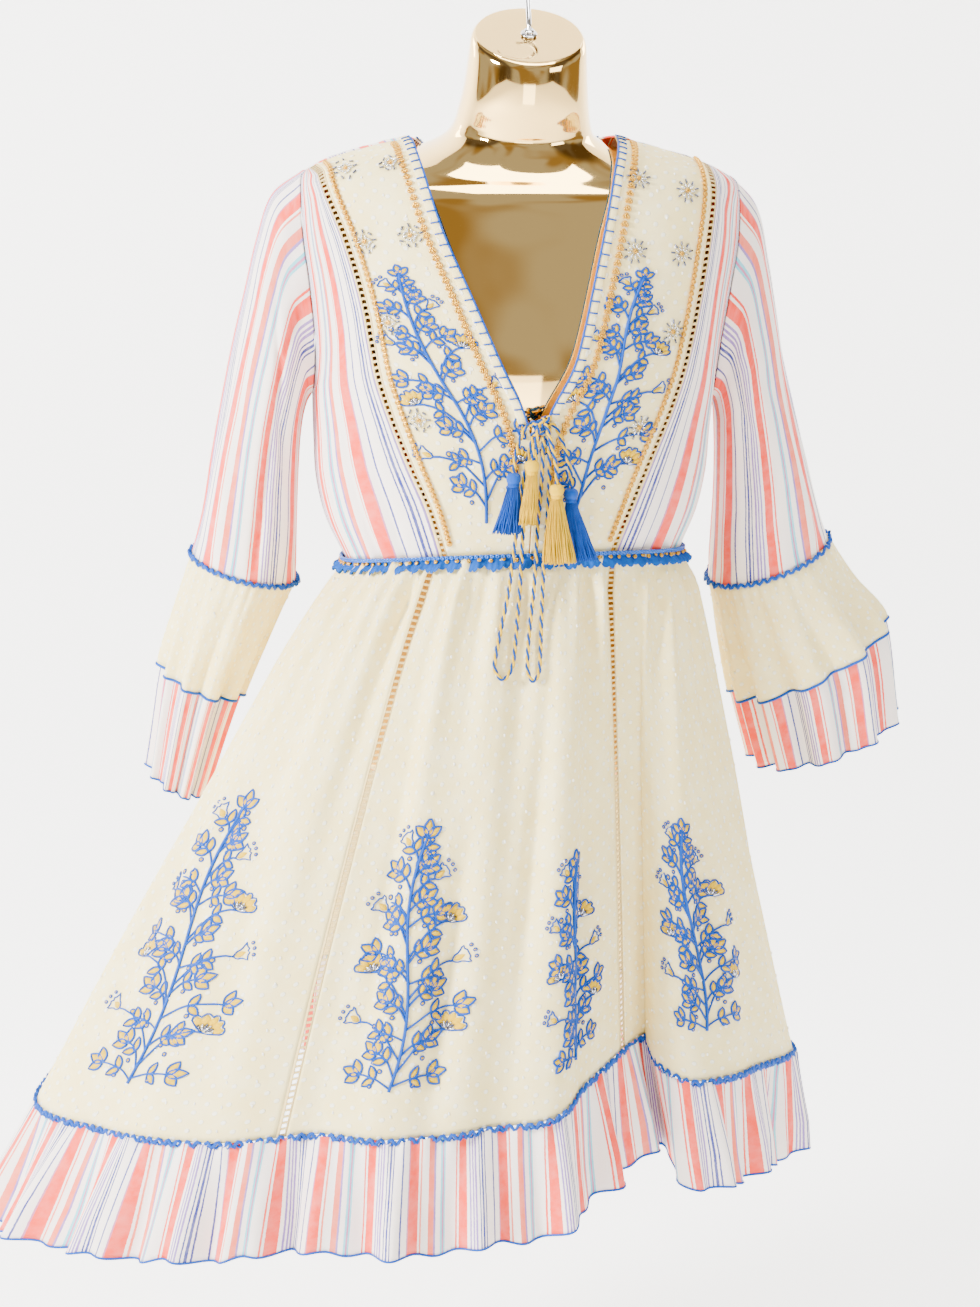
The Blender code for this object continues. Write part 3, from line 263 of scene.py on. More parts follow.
def grid_faces(rows, columns, wrap_rows=False, wrap_columns=False, start=0):
    """Quads of a grid of points numbered row by row."""
    i, j = np.meshgrid(np.arange(rows - (not wrap_rows)), np.arange(columns - (not wrap_columns)),
                       indexing="ij")
    i, j, below, right = i.ravel(), j.ravel(), (i.ravel() + 1) % rows, (j.ravel() + 1) % columns
    return start + np.stack([i * columns + j, i * columns + right, below * columns + right,
                             below * columns + j], axis=-1)


class Pile:
    """Points, faces and a finish number for each face, gathered into one mesh at the end."""

    def __init__(self):
        self.points, self.faces, self.finish, self.places, self.count = [], [], [], [], 0

    def add(self, points, faces, finish=0, places=None):
        points = np.asarray(points, float).reshape(-1, 3)
        self.points.append(points)
        self.places.append(np.zeros((len(points), 2)) if places is None else places.reshape(-1, 2))
        self.faces += (np.asarray(faces) + self.count).tolist()
        self.finish += [finish] * len(faces)
        self.count += len(points)

    def tube(self, path, radius, sides=6, finish=0, closed=False, capped=True):
        """A round thread along a path; its UV runs along and round it in metres."""
        rings = tube_points(path, radius, sides, closed)
        along = np.concatenate([[0], np.cumsum(np.linalg.norm(np.diff(path, axis=0), axis=1))])
        girth = np.arange(sides) * 2 * math.pi * np.mean(radius) / sides
        places = np.stack(np.meshgrid(along, girth, indexing="ij"), -1)
        faces = grid_faces(len(rings), sides, closed, True).tolist()
        self.add(rings, np.array(faces)[:, ::-1], finish, places)
        if capped and not closed:
            first = self.count - len(rings) * sides
            self.faces += [[first + k for k in range(sides)],
                           [self.count - 1 - k for k in range(sides)]]
            self.finish += [finish, finish]

    def piece(self, name, materials):
        """The mesh as an object that rides on the dress."""
        mesh = bpy.data.meshes.new(name)
        mesh.from_pydata(np.concatenate(self.points).tolist(), [], self.faces)
        places = np.concatenate(self.places)
        corner = np.empty(len(mesh.loops), dtype=int)
        mesh.loops.foreach_get("vertex_index", corner)
        mesh.uv_layers.new(name="thread").data.foreach_set("uv", places[corner].ravel())
        for one in materials:
            mesh.materials.append(one)
        mesh.polygons.foreach_set("material_index", self.finish)
        mesh.shade_smooth()
        made = bpy.data.objects.new(name, mesh)
        bpy.context.collection.objects.link(made)
        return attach(made, "root")


def thread_finish(name, colour, shine, roughness=0.45):
    """Silky thread: fine lines along it, with a slow drift of shade."""
    made, shader, uv = new_finish(name, colour, roughness, sheen=0.05)
    drift = uv.noise(160.0)
    feed(shader, "Base Color", drift.mixed([c * (1 - shine) for c in colour],
                                           [min(1.0, c * (1 + shine)) for c in colour]))
    raised(shader, uv.node("ShaderNodeTexWave", {"bands_direction": "Y"},
                           {"Vector": uv, "Scale": 900.0, "Distortion": 3.0, "Detail": 1.0}), 0.0002, 0.5)
    return made


BLUE, YELLOW = (0.0, 0.070, 0.42), (0.78, 0.47, 0.0)
blue_thread = thread_finish("blue_thread", BLUE, 0.3)
yellow_thread = thread_finish("yellow_thread", YELLOW, 0.25)
blue_cord = thread_finish("blue_cord", (0.0, 0.055, 0.28), 0.3, 0.6)
yellow_cord = thread_finish("yellow_cord", (0.78, 0.47, 0.0), 0.25, 0.6)


def twisted(pile, path, start=0.0):
    """Two strands, each path + offset (cos p across + sin p up) with p turning once a pitch."""
    along = np.concatenate([[0], np.cumsum(np.linalg.norm(np.diff(path, axis=0), axis=1))])
    frame_ring = tube_points(path, 1.0, 4) - path[:, None]
    phase = 2 * math.pi * along / TWIST_PITCH + start
    for finish, turn in ((0, 0.0), (1, math.pi)):
        spread = (np.cos(phase + turn)[:, None] * frame_ring[:, 0]
                  + np.sin(phase + turn)[:, None] * frame_ring[:, 1])
        pile.tube(path + STRAND_OFFSET * spread, STRAND_RADIUS, 8, finish)


def route_length(path):
    return float(np.linalg.norm(np.diff(path, axis=0), axis=1).sum())


for name, route in LOOPS.items():
    path = evenly(route, 0.0012)
    pile = Pile()
    twisted(pile, path)
    piece = pile.piece(f"tie_{name}_cord", [blue_cord, yellow_cord])
    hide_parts(f"tie_{name}")

# Tassels: a head bound with thread, and cut threads below it, blue or yellow. Each hangs from
# its end of the tie.
# End, name, head's top X, Y, Z, spread, lean, length.
TASSELS = [("end_1", "yellow_left", 0.000, -0.1451, -0.417, 0.0074, -0.002, 0.0545),
           ("end_2", "blue_left", -0.014, -0.1383, -0.429, 0.0118, -0.004, 0.0515),
           ("end_3", "yellow_right", 0.021, -0.1449, -0.437, 0.0138, 0.004, 0.0675),
           ("end_4", "blue_right", 0.034, -0.1371, -0.442, 0.0118, 0.012, 0.0615)]
THREADS, HEAD_RADIUS, THREAD_RADIUS = 150, 0.0056, 0.00042
# The bound head: drop below its top, share of its radius.
HEAD = np.array([(0.0, 0.30), (0.0006, 0.62), (0.0022, 0.95), (0.0048, 1.05), (0.0078, 0.96), (0.0092, 0.78),
                 (0.0100, 0.72), (0.0108, 0.78), (0.0118, 0.86)])
chance = np.random.default_rng(7)
for end, word, x, y, z, spread, lean, length in TASSELS:
    path = evenly(ENDS[end], 0.001)
    pile = Pile()
    twisted(pile, path, 0.6)
    cord_piece = pile.piece(f"tie_{end}_cord", [blue_cord, yellow_cord])
    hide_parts(f"tie_{end}")
    top, pile = np.array([x, y, z]), Pile()
    profile = smoothed(HEAD, 28)
    a = np.linspace(0, 2 * math.pi, 24, endpoint=False)
    ribs = 1 + 0.035 * np.cos(12 * a)[None, :] * (profile[:, 0] < 0.009)[:, None]
    rings = top + np.stack([HEAD_RADIUS * profile[:, 1:2] * ribs * np.cos(a),
                            HEAD_RADIUS * profile[:, 1:2] * ribs * np.sin(a),
                            -profile[:, 0:1] + 0 * a], axis=-1)
    pile.add(rings, grid_faces(len(rings), 24, False, True)[:, ::-1], 0,
             np.stack(np.meshgrid(profile[:, 0], a * HEAD_RADIUS, indexing="ij"), -1))
    collar = top + np.stack([HEAD_RADIUS * 0.80 * np.cos(a), HEAD_RADIUS * 0.80 * np.sin(a), 0 * a - 0.0100], -1)
    for level in (-0.0007, 0.0003, 0.0013):
        pile.tube(collar + (0, 0, level), 0.00062, 5, 0, closed=True)
    share = np.linspace(0, 1, 9)
    for k in range(THREADS):
        out, turn = math.sqrt((k + 0.5) / THREADS), 2.399963 * k
        cut = length * (1 - 0.05 * chance.random()) - 0.0105
        wave = 0.0009 * np.sin(share * (4 + 3 * chance.random()) + 6 * chance.random()) * share
        width = HEAD_RADIUS * 0.72 + (spread - HEAD_RADIUS * 0.72) * share ** 0.8
        strand = np.stack([x + out * math.cos(turn) * width + lean * share ** 1.3 + wave,
                           y + out * math.sin(turn) * width * 0.62 + wave,
                           z - 0.0105 - cut * share], axis=-1)
        pile.tube(strand, THREAD_RADIUS * (1 + 0.5 * share), 3, 0, capped=False)
    tassel = pile.piece(f"tassel_{word}_threads", [yellow_thread if "yellow" in word else blue_thread])
    node = "tassel_" + "_".join(word.split("_"))
    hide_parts(node)
    "yellow_thread" if "yellow" in word else "blue_thread"

# Knot of the tie: the cord wound round itself, drawn tight on the right neck edge.
KNOT_PLACE = np.array([0.008, -0.1316, -0.392])
turn = np.linspace(0, 2 * math.pi, 64)
pile = Pile()
for number, (tilt, rise, width, depth) in enumerate([(0.45, 0.0042, 0.0078, 0.0040), (-0.50, 0.0, 0.0084, 0.0044),
                                                     (0.35, -0.0042, 0.0076, 0.0040), (1.25, 0.0004, 0.0066, 0.0050)]):
    ring = np.stack([width * np.cos(turn) * math.cos(tilt), depth * np.sin(turn),
                     width * np.cos(turn) * math.sin(tilt) + rise + 0.0006 * np.sin(2 * turn)], axis=-1)
    twisted(pile, KNOT_PLACE + ring, 0.9 * number)
inner = np.linspace(-1, 1, 9)[:, None]
a = np.linspace(0, 2 * math.pi, 20, endpoint=False)[None]
swell = np.sqrt(np.clip(1 - inner ** 2, 0.02, 1))
core = KNOT_PLACE + np.stack([0.0062 * swell * np.cos(a), 0.0036 * swell * np.sin(a), 0.0064 * inner + 0 * a], -1)
pile.add(core, grid_faces(9, 20, False, True)[:, ::-1], 0)
knot = pile.piece("tie_knot_wound", [blue_cord, yellow_cord])
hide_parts("tie_knot")

# Dress form: a limbless moulded torso with a flat neck cap, plated to a gold mirror. It is
# seen at the neck and in the V, and the dress hangs on its shoulders.
SQUARENESS = 2.2
NECK = np.array([
    (-0.085, -0.035, 0.0100, 0.0100, 24.0), (-0.085, -0.035, 0.0410, 0.0410, 24.0),
    (-0.0856, -0.035, 0.0440, 0.0438, 24.0), (-0.0878, -0.0348, 0.0464, 0.0460, 23.6),
    (-0.0935, -0.0343, 0.0480, 0.0470, 22.4), (-0.110, -0.032, 0.0495, 0.0480, 20.0),
    (-0.130, -0.027, 0.0515, 0.0490, 16.0), (-0.148, -0.018, 0.0545, 0.0510, 10.0),
    (-0.160, -0.012, 0.0570, 0.0535, 5.0)])
FIGURE = np.array([
    (-0.170, 0.0620, 0.063, 0.045), (-0.178, 0.075, 0.065, 0.049), (-0.187, 0.100, 0.0685, 0.0545),
    (-0.197, 0.138, 0.0750, 0.0625), (-0.212, 0.174, 0.0888, 0.0776), (-0.250, 0.178, 0.097, 0.083),
    (-0.300, 0.166, 0.110, 0.087), (-0.350, 0.154, 0.118, 0.086), (-0.400, 0.143, 0.114, 0.082),
    (-0.460, 0.128, 0.096, 0.076), (-0.520, 0.118, 0.084, 0.074), (-0.580, 0.128, 0.088, 0.086),
    (-0.640, 0.150, 0.098, 0.104), (-0.690, 0.158, 0.104, 0.108), (-0.705, 0.153, 0.099, 0.103),
    (-0.710, 0.140, 0.088, 0.090)])


def spread_power(value, power):
    return np.sign(value) * np.abs(value) ** power


def mirror_finish(name, colour, roughness):
    """Plated metal with a faint unevenness of the moulding under it."""
    made, shader, place = new_finish(name, colour, roughness, 1.0, coordinates="Object")
    feed(shader, "Roughness", place.noise(60.0, 4.0) * 0.05 + roughness)
    raised(shader, place.noise(7.0, 1.0), 0.004, 0.25)
    return made


def add_surface(name, points, material, faces, uv=None):
    """A mesh from points and faces, with the UV of each point."""
    pile = Pile()
    pile.add(points, faces, 0, uv)
    return pile.piece(name, [material])


a = np.linspace(0, 2 * math.pi, 128, endpoint=False)
rings = []
for z, y, half, depth, tilt in NECK:
    lean, forward = math.radians(tilt), depth * np.cos(a)
    rings.append(np.stack([half * np.sin(a), y - forward * math.cos(lean), z - forward * math.sin(lean)], -1))
for z, half, front, rear in FIGURE:
    run = spread_power(np.cos(a), 2 / SQUARENESS)
    rings.append(np.stack([half * spread_power(np.sin(a), 2 / SQUARENESS),
                           np.where(run > 0, -front * run, -rear * run), z + 0 * a], axis=-1))
rings = smoothed(np.array(rings), 6 * len(rings))
centre = np.array([[0, -0.035, -0.085], [0, 0, -0.710]])
count, last = rings.shape[0] * 128, (len(rings) - 1) * 128
order = np.arange(128)
caps = np.concatenate([np.stack([0 * order + count, (order + 1) % 128, order], -1),
                       np.stack([0 * order + count + 1, last + order, last + (order + 1) % 128], -1)])
pile = Pile()
pile.add(np.concatenate([rings.reshape(-1, 3), centre]), grid_faces(len(rings), 128, False, True)[:, ::-1])
pile.faces += caps[:, ::-1].tolist()
pile.finish += [0] * len(caps)
gold = mirror_finish("gold_mirror", (0.98, 0.66, 0.24), 0.035)
form = pile.piece("torso_form", [gold])
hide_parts("form")

# Hook of the form: a bent chrome rod that screws through a washer into the neck cap.
chrome = mirror_finish("chrome", (0.78, 0.78, 0.80), 0.10)
HOOK_RADIUS, ROD_RADIUS, CAP_TILT = 0.016, 0.0021, math.radians(24)
cap_up = np.array([0.0, -math.sin(CAP_TILT), math.cos(CAP_TILT)])
seat = np.array([0.0, -0.035, -0.085])
foot = seat + cap_up * 0.0052
rod_top = -2 * HOOK_RADIUS + 0.004
bar = [foot - cap_up * 0.004] + [(0.0, foot[1] * (1 - s), foot[2] + (rod_top - foot[2]) * s)
                                 for s in (0.12, 0.45, 0.8, 1.0)]
bar += [(-HOOK_RADIUS * math.sin(t), 0.0, HOOK_RADIUS * math.cos(t) - HOOK_RADIUS + ROD_RADIUS)
        for t in np.radians(np.arange(-150, 91, 20))]
pile = Pile()
bar = evenly(bar, 0.0014)
tip = np.minimum(1, np.sqrt(np.linspace(4.0, 0.02, len(bar)).clip(0, 1)))
pile.tube(bar, ROD_RADIUS * tip, 16)
for lift, radius, thick in ((0.0003, 0.0068, 0.0019), (0.0023, 0.0046, 0.0028)):
    stack = [seat + cap_up * (lift + thick * s) for s in (0, 0.12, 0.5, 0.88, 1.0)]
    sides = 48 if thick < 0.002 else 6
    pile.tube(np.array(stack), radius * np.array([0.94, 1, 1, 1, 0.94]), sides)
hook = pile.piece("form_hook_rod", [chrome])
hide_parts("form_hook")

# Bodice cloth: two dotted cream yokes, striped side fronts gathered into the waist and a
# striped back, all sewn to a common shape that the torso fills. First, how cloth is made.
CLOTH = np.array([
    (-0.160, 0.030, 0.020, 0.020), (-0.168, 0.066, 0.040, 0.038), (-0.175, 0.096, 0.054, 0.050),
    (-0.184, 0.131, 0.068, 0.062), (-0.195, 0.164, 0.080, 0.072), (-0.210, 0.186, 0.090, 0.080),
    (-0.250, 0.191, 0.104, 0.088), (-0.300, 0.184, 0.117, 0.092), (-0.350, 0.175, 0.126, 0.093),
    (-0.400, 0.170, 0.127, 0.092), (-0.450, 0.168, 0.122, 0.092), (-0.500, 0.157, 0.114, 0.095),
    (-0.540, 0.137, 0.106, 0.096)])
NECK_EDGE = np.array([
    (-0.170, -0.094, 0.080), (-0.195, -0.087, 0.069), (-0.235, -0.074, 0.060),
    (-0.290, -0.049, 0.048), (-0.340, -0.026, 0.036), (-0.385, -0.004, 0.014),
    (-0.397, 0.004, 0.005), (-0.540, 0.004, 0.005)])
LADDER_EDGE = np.array([
    (-0.170, -0.176, 0.158), (-0.200, -0.172, 0.160), (-0.250, -0.153, 0.154),
    (-0.300, -0.138, 0.146), (-0.360, -0.126, 0.133), (-0.425, -0.102, 0.108),
    (-0.480, -0.078, 0.088), (-0.540, -0.060, 0.068)])
LADDER_WIDTH, BINDING_WIDTH, BINDING_FOOT = 0.0066, 0.0085, -0.3965
WAIST_Z, WAIST_RISE, WAIST_SLANT = -0.538, 0.032, 0.006
ARMHOLE_TOP, ARMHOLE_FOOT, ARMHOLE_DEPTH, ARMHOLE_ROWS = -0.203, -0.392, 0.041, 12
BODICE_ROWS, ROW_CROWD, PANEL_STEPS = 16, 2.1, 4
BACK_COLUMNS, BACK_NECK, BACK_NECK_DIP = 17, (4, 13), 0.022
FINE_ROWS, FINE_COLUMNS = 7, 9      # finer rows and columns to one of the solids' own
CLOTH_THICKNESS = 0.0008


def smooth_table(table, key):
    """Rows of a table read at any key by a cubic through the rows, with no overshoot past them."""
    order = np.argsort(table[:, 0])
    knots, rows = table[order, 0], table[order, 1:]
    step = np.diff(knots)[:, None]
    slope = np.diff(rows, axis=0) / step
    tangent = np.zeros_like(rows)
    same = slope[:-1] * slope[1:] > 0
    total = np.where(same, slope[:-1] + slope[1:], 1.0)
    tangent[1:-1] = np.where(same, 2 * slope[:-1] * slope[1:] / total, 0.0)
    tangent[0], tangent[-1] = slope[0], slope[-1]
    key = np.clip(np.asarray(key, float), knots[0], knots[-1])
    row = np.clip(np.searchsorted(knots, key, side="right") - 1, 0, len(knots) - 2)
    share = ((key - knots[row]) / step[row, 0])[..., None]
    rise = rows[row] + share * (rows[row + 1] - rows[row])
    lift = (tangent[row] - slope[row]) * (1 - share) - (tangent[row + 1] - slope[row]) * share
    return rise + share * (1 - share) * lift * step[row]


def section_point(turn, height, back):
    """x = half |sin t|^(2/n) and y = depth |cos t|^(2/n) on the bodice section at a height."""
    half, front, rear = np.moveaxis(smooth_table(CLOTH, height), -1, 0)
    x = half * spread_power(np.sin(turn), 2 / SQUARENESS)
    depth = np.abs(np.cos(turn)) ** (2 / SQUARENESS)
    return np.stack([x, np.where(back, rear * depth, -front * depth), height + 0 * x], axis=-1)


def turn_at(x, height):
    share = np.clip(np.abs(x) / smooth_table(CLOTH, height)[..., 0], 0.0, 1.0)
    return np.sign(x) * np.arcsin(share ** (SQUARENESS / 2.0))


def ridge_height(x):
    heights = np.linspace(CLOTH[0, 0], -0.215, 400)
    return np.interp(np.abs(x), smooth_table(CLOTH, heights)[:, 0], heights)


def waist_height(turn):
    return WAIST_Z + WAIST_RISE * ((1 + np.cos(turn)) / 2) ** 2 + WAIST_SLANT * np.sin(turn)


def armhole_curve(angle, side):
    """An oval in height and depth laid on the bodice section, from the shoulder tip."""
    middle, half = (ARMHOLE_TOP + ARMHOLE_FOOT) / 2, (ARMHOLE_TOP - ARMHOLE_FOOT) / 2
    height = middle + half * np.cos(angle)
    width, front, rear = np.moveaxis(smooth_table(CLOTH, height), -1, 0)
    y = -ARMHOLE_DEPTH * np.sin(angle)
    depth = np.where(y < 0, front, rear)
    x = side * width * (1 - (np.abs(y) / depth) ** SQUARENESS) ** (1 / SQUARENESS)
    return np.stack([x, y, height], axis=-1)


def row_shares():
    return (np.arange(BODICE_ROWS) / (BODICE_ROWS - 1)) ** ROW_CROWD


def front_column(table, column, margin):
    """A seam of the front from the shoulder ridge to the waist."""
    top_x, foot_x = table[0, column] + margin, table[-1, column] + margin
    top, foot = ridge_height(top_x), waist_height(turn_at(foot_x, -0.53))
    height = top + (foot - top) * row_shares()
    x = smooth_table(table, height)[:, column - 1] + margin
    x[0] = top_x
    return x, height


def outer_column(side, back):
    """The armhole from tip to underarm and then the side seam."""
    angle = np.linspace(0, math.pi, ARMHOLE_ROWS)
    curve = armhole_curve(-angle if back else angle, side)
    width, front, rear = np.moveaxis(smooth_table(CLOTH, curve[:, 2]), -1, 0)
    turn = side * np.arccos((np.abs(curve[:, 1]) / (rear if back else front)) ** (SQUARENESS / 2))
    below = BODICE_ROWS - ARMHOLE_ROWS
    heights = np.linspace(ARMHOLE_FOOT, waist_height(side * math.pi / 2), below + 1)[1:]
    return (np.concatenate([turn, np.full(below, side * math.pi / 2)]),
            np.concatenate([curve[:, 2], heights]))


def bodice_front(side):
    """Columns of the front on one side, from the neck edge to the armhole and side seam."""
    column = 1 if side < 0 else 2
    seams = [front_column(NECK_EDGE, column, 0.0), front_column(NECK_EDGE, column, side * BINDING_WIDTH),
             front_column(LADDER_EDGE, column, -side * LADDER_WIDTH), front_column(LADDER_EDGE, column, 0.0)]
    (bind_x, bind_z), (inner_x, inner_z), (outer_x, outer_z) = seams[1:]
    columns = [seams[0]]
    for share in np.linspace(0, 1, PANEL_STEPS + 1):
        columns.append((bind_x + (inner_x - bind_x) * share, bind_z + (inner_z - bind_z) * share))
    columns.append(seams[3])
    grid = [section_point(turn_at(x, z), z, False) for x, z in columns]
    for points in grid[1:-1]:
        points[0] = points[0, 0], 0.0, ridge_height(points[0, 0])   # the shoulder seam keeps to the ridge
    arm_turn, arm_z = outer_column(side, False)
    ladder_turn = turn_at(outer_x, outer_z)
    for share in np.linspace(0, 1, PANEL_STEPS + 1)[1:]:
        grid.append(section_point(ladder_turn + (arm_turn - ladder_turn) * share,
                                  outer_z + (arm_z - outer_z) * share, False))
    return np.stack(grid, axis=1)


def bodice_back():
    """Columns of the back from the left armhole and side seam to the right ones."""
    (left_turn, left_z), (right_turn, right_z) = outer_column(-1, True), outer_column(1, True)
    tip, neck = armhole_curve(np.array(0.0), 1)[0], NECK_EDGE[0, 1:]
    grid = [section_point(left_turn, left_z, True)]
    for j in range(1, BACK_COLUMNS):
        top_x = float(np.interp(j, [0, *BACK_NECK, BACK_COLUMNS], [-tip, *neck, tip]))
        across = (j - BACK_NECK[0]) / (BACK_NECK[1] - BACK_NECK[0])
        top = float(ridge_height(top_x))
        if 0 <= across <= 1:
            top = np.interp(across, [0, 1], ridge_height(neck)) - BACK_NECK_DIP * math.sqrt(1 - (2 * across - 1) ** 2)
        foot_turn = left_turn[-1] + (right_turn[-1] - left_turn[-1]) * j / BACK_COLUMNS
        foot = waist_height(math.copysign(math.pi, foot_turn) - foot_turn)
        z = top + (foot - top) * row_shares()
        foot_x = section_point(np.array(foot_turn), np.array(foot), True)[0]
        x = top_x + (foot_x - top_x) * row_shares()
        grid.append(section_point(turn_at(x, z), z, True))
    return np.stack(grid + [section_point(right_turn, right_z, True)], axis=1)


def finer(grid, rows, columns, closed=False):
    """The grid with more rows and columns, on cubics both ways."""
    return np.swapaxes(smoothed(np.swapaxes(smoothed(grid, rows), 0, 1), columns, closed), 0, 1)


def grid_normals(grid, closed, inside):
    """Unit normals of a grid, turned away from the inside point."""
    across = np.roll(grid, -1, 1) - np.roll(grid, 1, 1) if closed else np.gradient(grid, axis=1)
    normals = np.cross(across, np.gradient(grid, axis=0))
    normals /= np.linalg.norm(normals, axis=2, keepdims=True) + 1e-12
    away = grid - (grid.mean(axis=1, keepdims=True) if inside is None else np.asarray(inside))
    return normals if (normals * away).sum() > 0 else -normals


def cloth_piece(name, grid, across, down, material, closed=False, inside=None, thickness=CLOTH_THICKNESS):
    """A grid of points as a thin shell. across and down are the cloth's own metres (its UV)."""
    rows, columns = grid.shape[:2]
    faces = grid_faces(rows, columns, False, closed)
    tri = grid.reshape(-1, 3)[faces[:, :3]]
    facing = np.cross(tri[:, 1] - tri[:, 0], tri[:, 2] - tri[:, 0])
    outward = grid_normals(grid, closed, inside).reshape(-1, 3)[faces[:, 0]]
    turned = (facing * outward).sum() < 0
    i, j = np.divmod(np.arange((rows - 1) * (columns if closed else columns - 1)),
                     columns if closed else columns - 1)
    corner_rows = np.stack([i, i, i + 1, i + 1], -1)
    corner_columns = np.stack([j, j + 1, j + 1, j], -1)
    if turned:
        faces, corner_rows, corner_columns = faces[:, ::-1], corner_rows[:, ::-1], corner_columns[:, ::-1]
    mesh = bpy.data.meshes.new(name)
    mesh.from_pydata(grid.reshape(-1, 3).tolist(), [], faces.tolist())
    across = np.broadcast_to(across, (rows, columns + closed))
    down = np.broadcast_to(np.reshape(down, (rows, -1)), (rows, columns + closed))
    uv = np.stack([across[corner_rows, corner_columns], down[corner_rows, corner_columns]], -1)
    mesh.uv_layers.new(name="cloth").data.foreach_set("uv", uv.ravel())
    mesh.materials.append(material)
    mesh.shade_smooth()
    made = bpy.data.objects.new(name, mesh)
    bpy.context.collection.objects.link(made)
    shell = made.modifiers.new("thickness", "SOLIDIFY")
    shell.thickness, shell.offset = thickness, -1.0
    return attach(made, "root")


def declare_cut(grid, rests_on, closed=False):
    """Diagonals of each cell of the grid, closed round first if closed; nothing is kept or returned."""
    if closed:
        grid = np.concatenate([grid, grid[:, :1]], axis=1)
    a, b = grid[1:, 1:] - grid[:-1, :-1], grid[1:, :-1] - grid[:-1, 1:]


def gathers(turn, drop, table):
    """Sum of depth cos(count t + phase, drifting) exp(-drop / fade), for gathered cloth."""
    total = 0.0
    for count, phase, depth, fade in table:
        drift = 1.6 * np.sin(3.1 * turn + phase) + 1.1 * np.sin(7.3 * turn + 2 * phase)
        total = total + depth * np.cos(count * turn + phase + drift) * np.exp(-drop / fade)
    return total


def troughs(across, down, table):
    """Soft creases: each -depth exp(-(s/width)^2) exp(-(t/length)^2), s and t square to and along it."""
    total = 0.0
    for centre_a, centre_d, lean, length, width, depth in table:
        a, d = across - centre_a, down - centre_d
        c, s = math.cos(math.radians(lean)), math.sin(math.radians(lean))
        total = total - depth * np.exp(-((a * c - d * s) / width) ** 2 - ((a * s + d * c) / length) ** 2)
    return total


def weave(shader, uv, dots=None):
    """Height of a plain weave, slubs and, on dotted cotton, small raised tufts in staggered rows."""
    lines = uv.node("ShaderNodeTexWave", {"bands_direction": "X"}, {"Vector": uv, "Scale": 420.0, "Distortion": 1.5})
    threads = uv.node("ShaderNodeTexWave", {"bands_direction": "Y"}, {"Vector": uv, "Scale": 420.0, "Distortion": 1.5})
    height = lines * 0.10 + threads * 0.10 + uv.noise(55.0, 4.0) * 0.9
    if dots is not None:
        height = height + dots * 1.3
    raised(shader, height, 0.0011, 0.55)


def dotted(uv):
    """1 on small tufts: a cell grid 17 mm across and 15 mm down, every other row set over by half."""
    row = uv.split(1) * (1 / 0.0075)
    odd = row.math("FLOOR").math("PINGPONG", 1.0)
    across = (uv.split(0) * (1 / 0.017) + odd * 0.5).math("FRACT") - 0.5
    down = row.math("FRACT") - 0.5
    reach = across * across * 5.2 + down * down * 1.15
    return 1 - reach.soft_step(0.045, 0.10)


CREAM, CREAM_SHADE, TUFT = (1.0, 0.87, 0.47), (0.97, 0.80, 0.36), (1.0, 0.98, 0.86)
dotted_cream, shader, uv = new_finish("dotted_cream_cotton", CREAM, 0.9, sheen=0.04)
tufts = dotted(uv)
slub = uv.noise(38.0, 5.0, 0.6).soft_step(0.35, 0.7)
feed(shader, "Base Color", (tufts * 0.75).mixed(slub.mixed(CREAM_SHADE, CREAM), TUFT))
weave(shader, uv, tufts)

# Striped cotton: width in millimetres and colour of each stripe of one repeat.
STRIPE_INKS = {"ground": (0.965, 0.865, 0.80), "coral": (0.93, 0.065, 0.035), "rose": (0.93, 0.17, 0.10),
               "lavender": (0.28, 0.17, 0.50), "indigo": (0.04, 0.05, 0.28), "aqua": (0.16, 0.62, 0.74),
               "mauve": (0.60, 0.17, 0.34)}
STRIPES = [(11, "ground"), (1.6, "coral"), (1.8, "ground"), (8, "coral"), (2.8, "ground"), (1.5, "lavender"),
           (1.3, "ground"), (1.4, "lavender"), (1.3, "ground"), (1.7, "lavender"), (2.6, "ground"),
           (1.4, "indigo"), (1.4, "ground"), (1.7, "indigo"), (1.4, "ground"), (1.4, "indigo"), (8, "ground"),
           (1.6, "indigo"), (5, "ground"), (1.4, "mauve"), (9, "coral"), (2.0, "ground"), (1.6, "rose"),
           (7, "ground"), (5.5, "rose"), (1.8, "lavender"), (5, "ground"), (1.8, "aqua"), (1.3, "mauve"),
           (1.8, "aqua")]
STRIPE_REPEAT = sum(width for width, _ in STRIPES) / 1000


def striped_finish(name, shift=0.0):
    """Woven stripes across the cloth's own width, a little uneven, as the yarn is."""
    made, shader, uv = new_finish(name, STRIPE_INKS["ground"], 0.9, sheen=0.04)
    edges = np.cumsum([0] + [width for width, _ in STRIPES[:-1]]) / (STRIPE_REPEAT * 1000)
    stops = [(float(edge), STRIPE_INKS[ink]) for edge, (_, ink) in zip(edges, STRIPES)]
    wander = (uv.noise(22.0, 2.0) - 0.5) * 0.0014 + (uv.noise(420.0, 1.0) - 0.5) * 0.0006
    place = ((uv.split(0) + wander + shift) * (1 / STRIPE_REPEAT)).math("FRACT")
    colour = place.node("ShaderNodeValToRGB", {"steps": "CONSTANT", "stops": stops}, {0: place})
    fade = uv.noise(70.0, 4.0, 0.6).soft_step(0.3, 0.75)
    feed(shader, "Base Color", (fade * 0.12).mixed(colour, (1.0, 0.93, 0.88)))
    weave(shader, uv)
    return made


striped = striped_finish("striped_cotton")

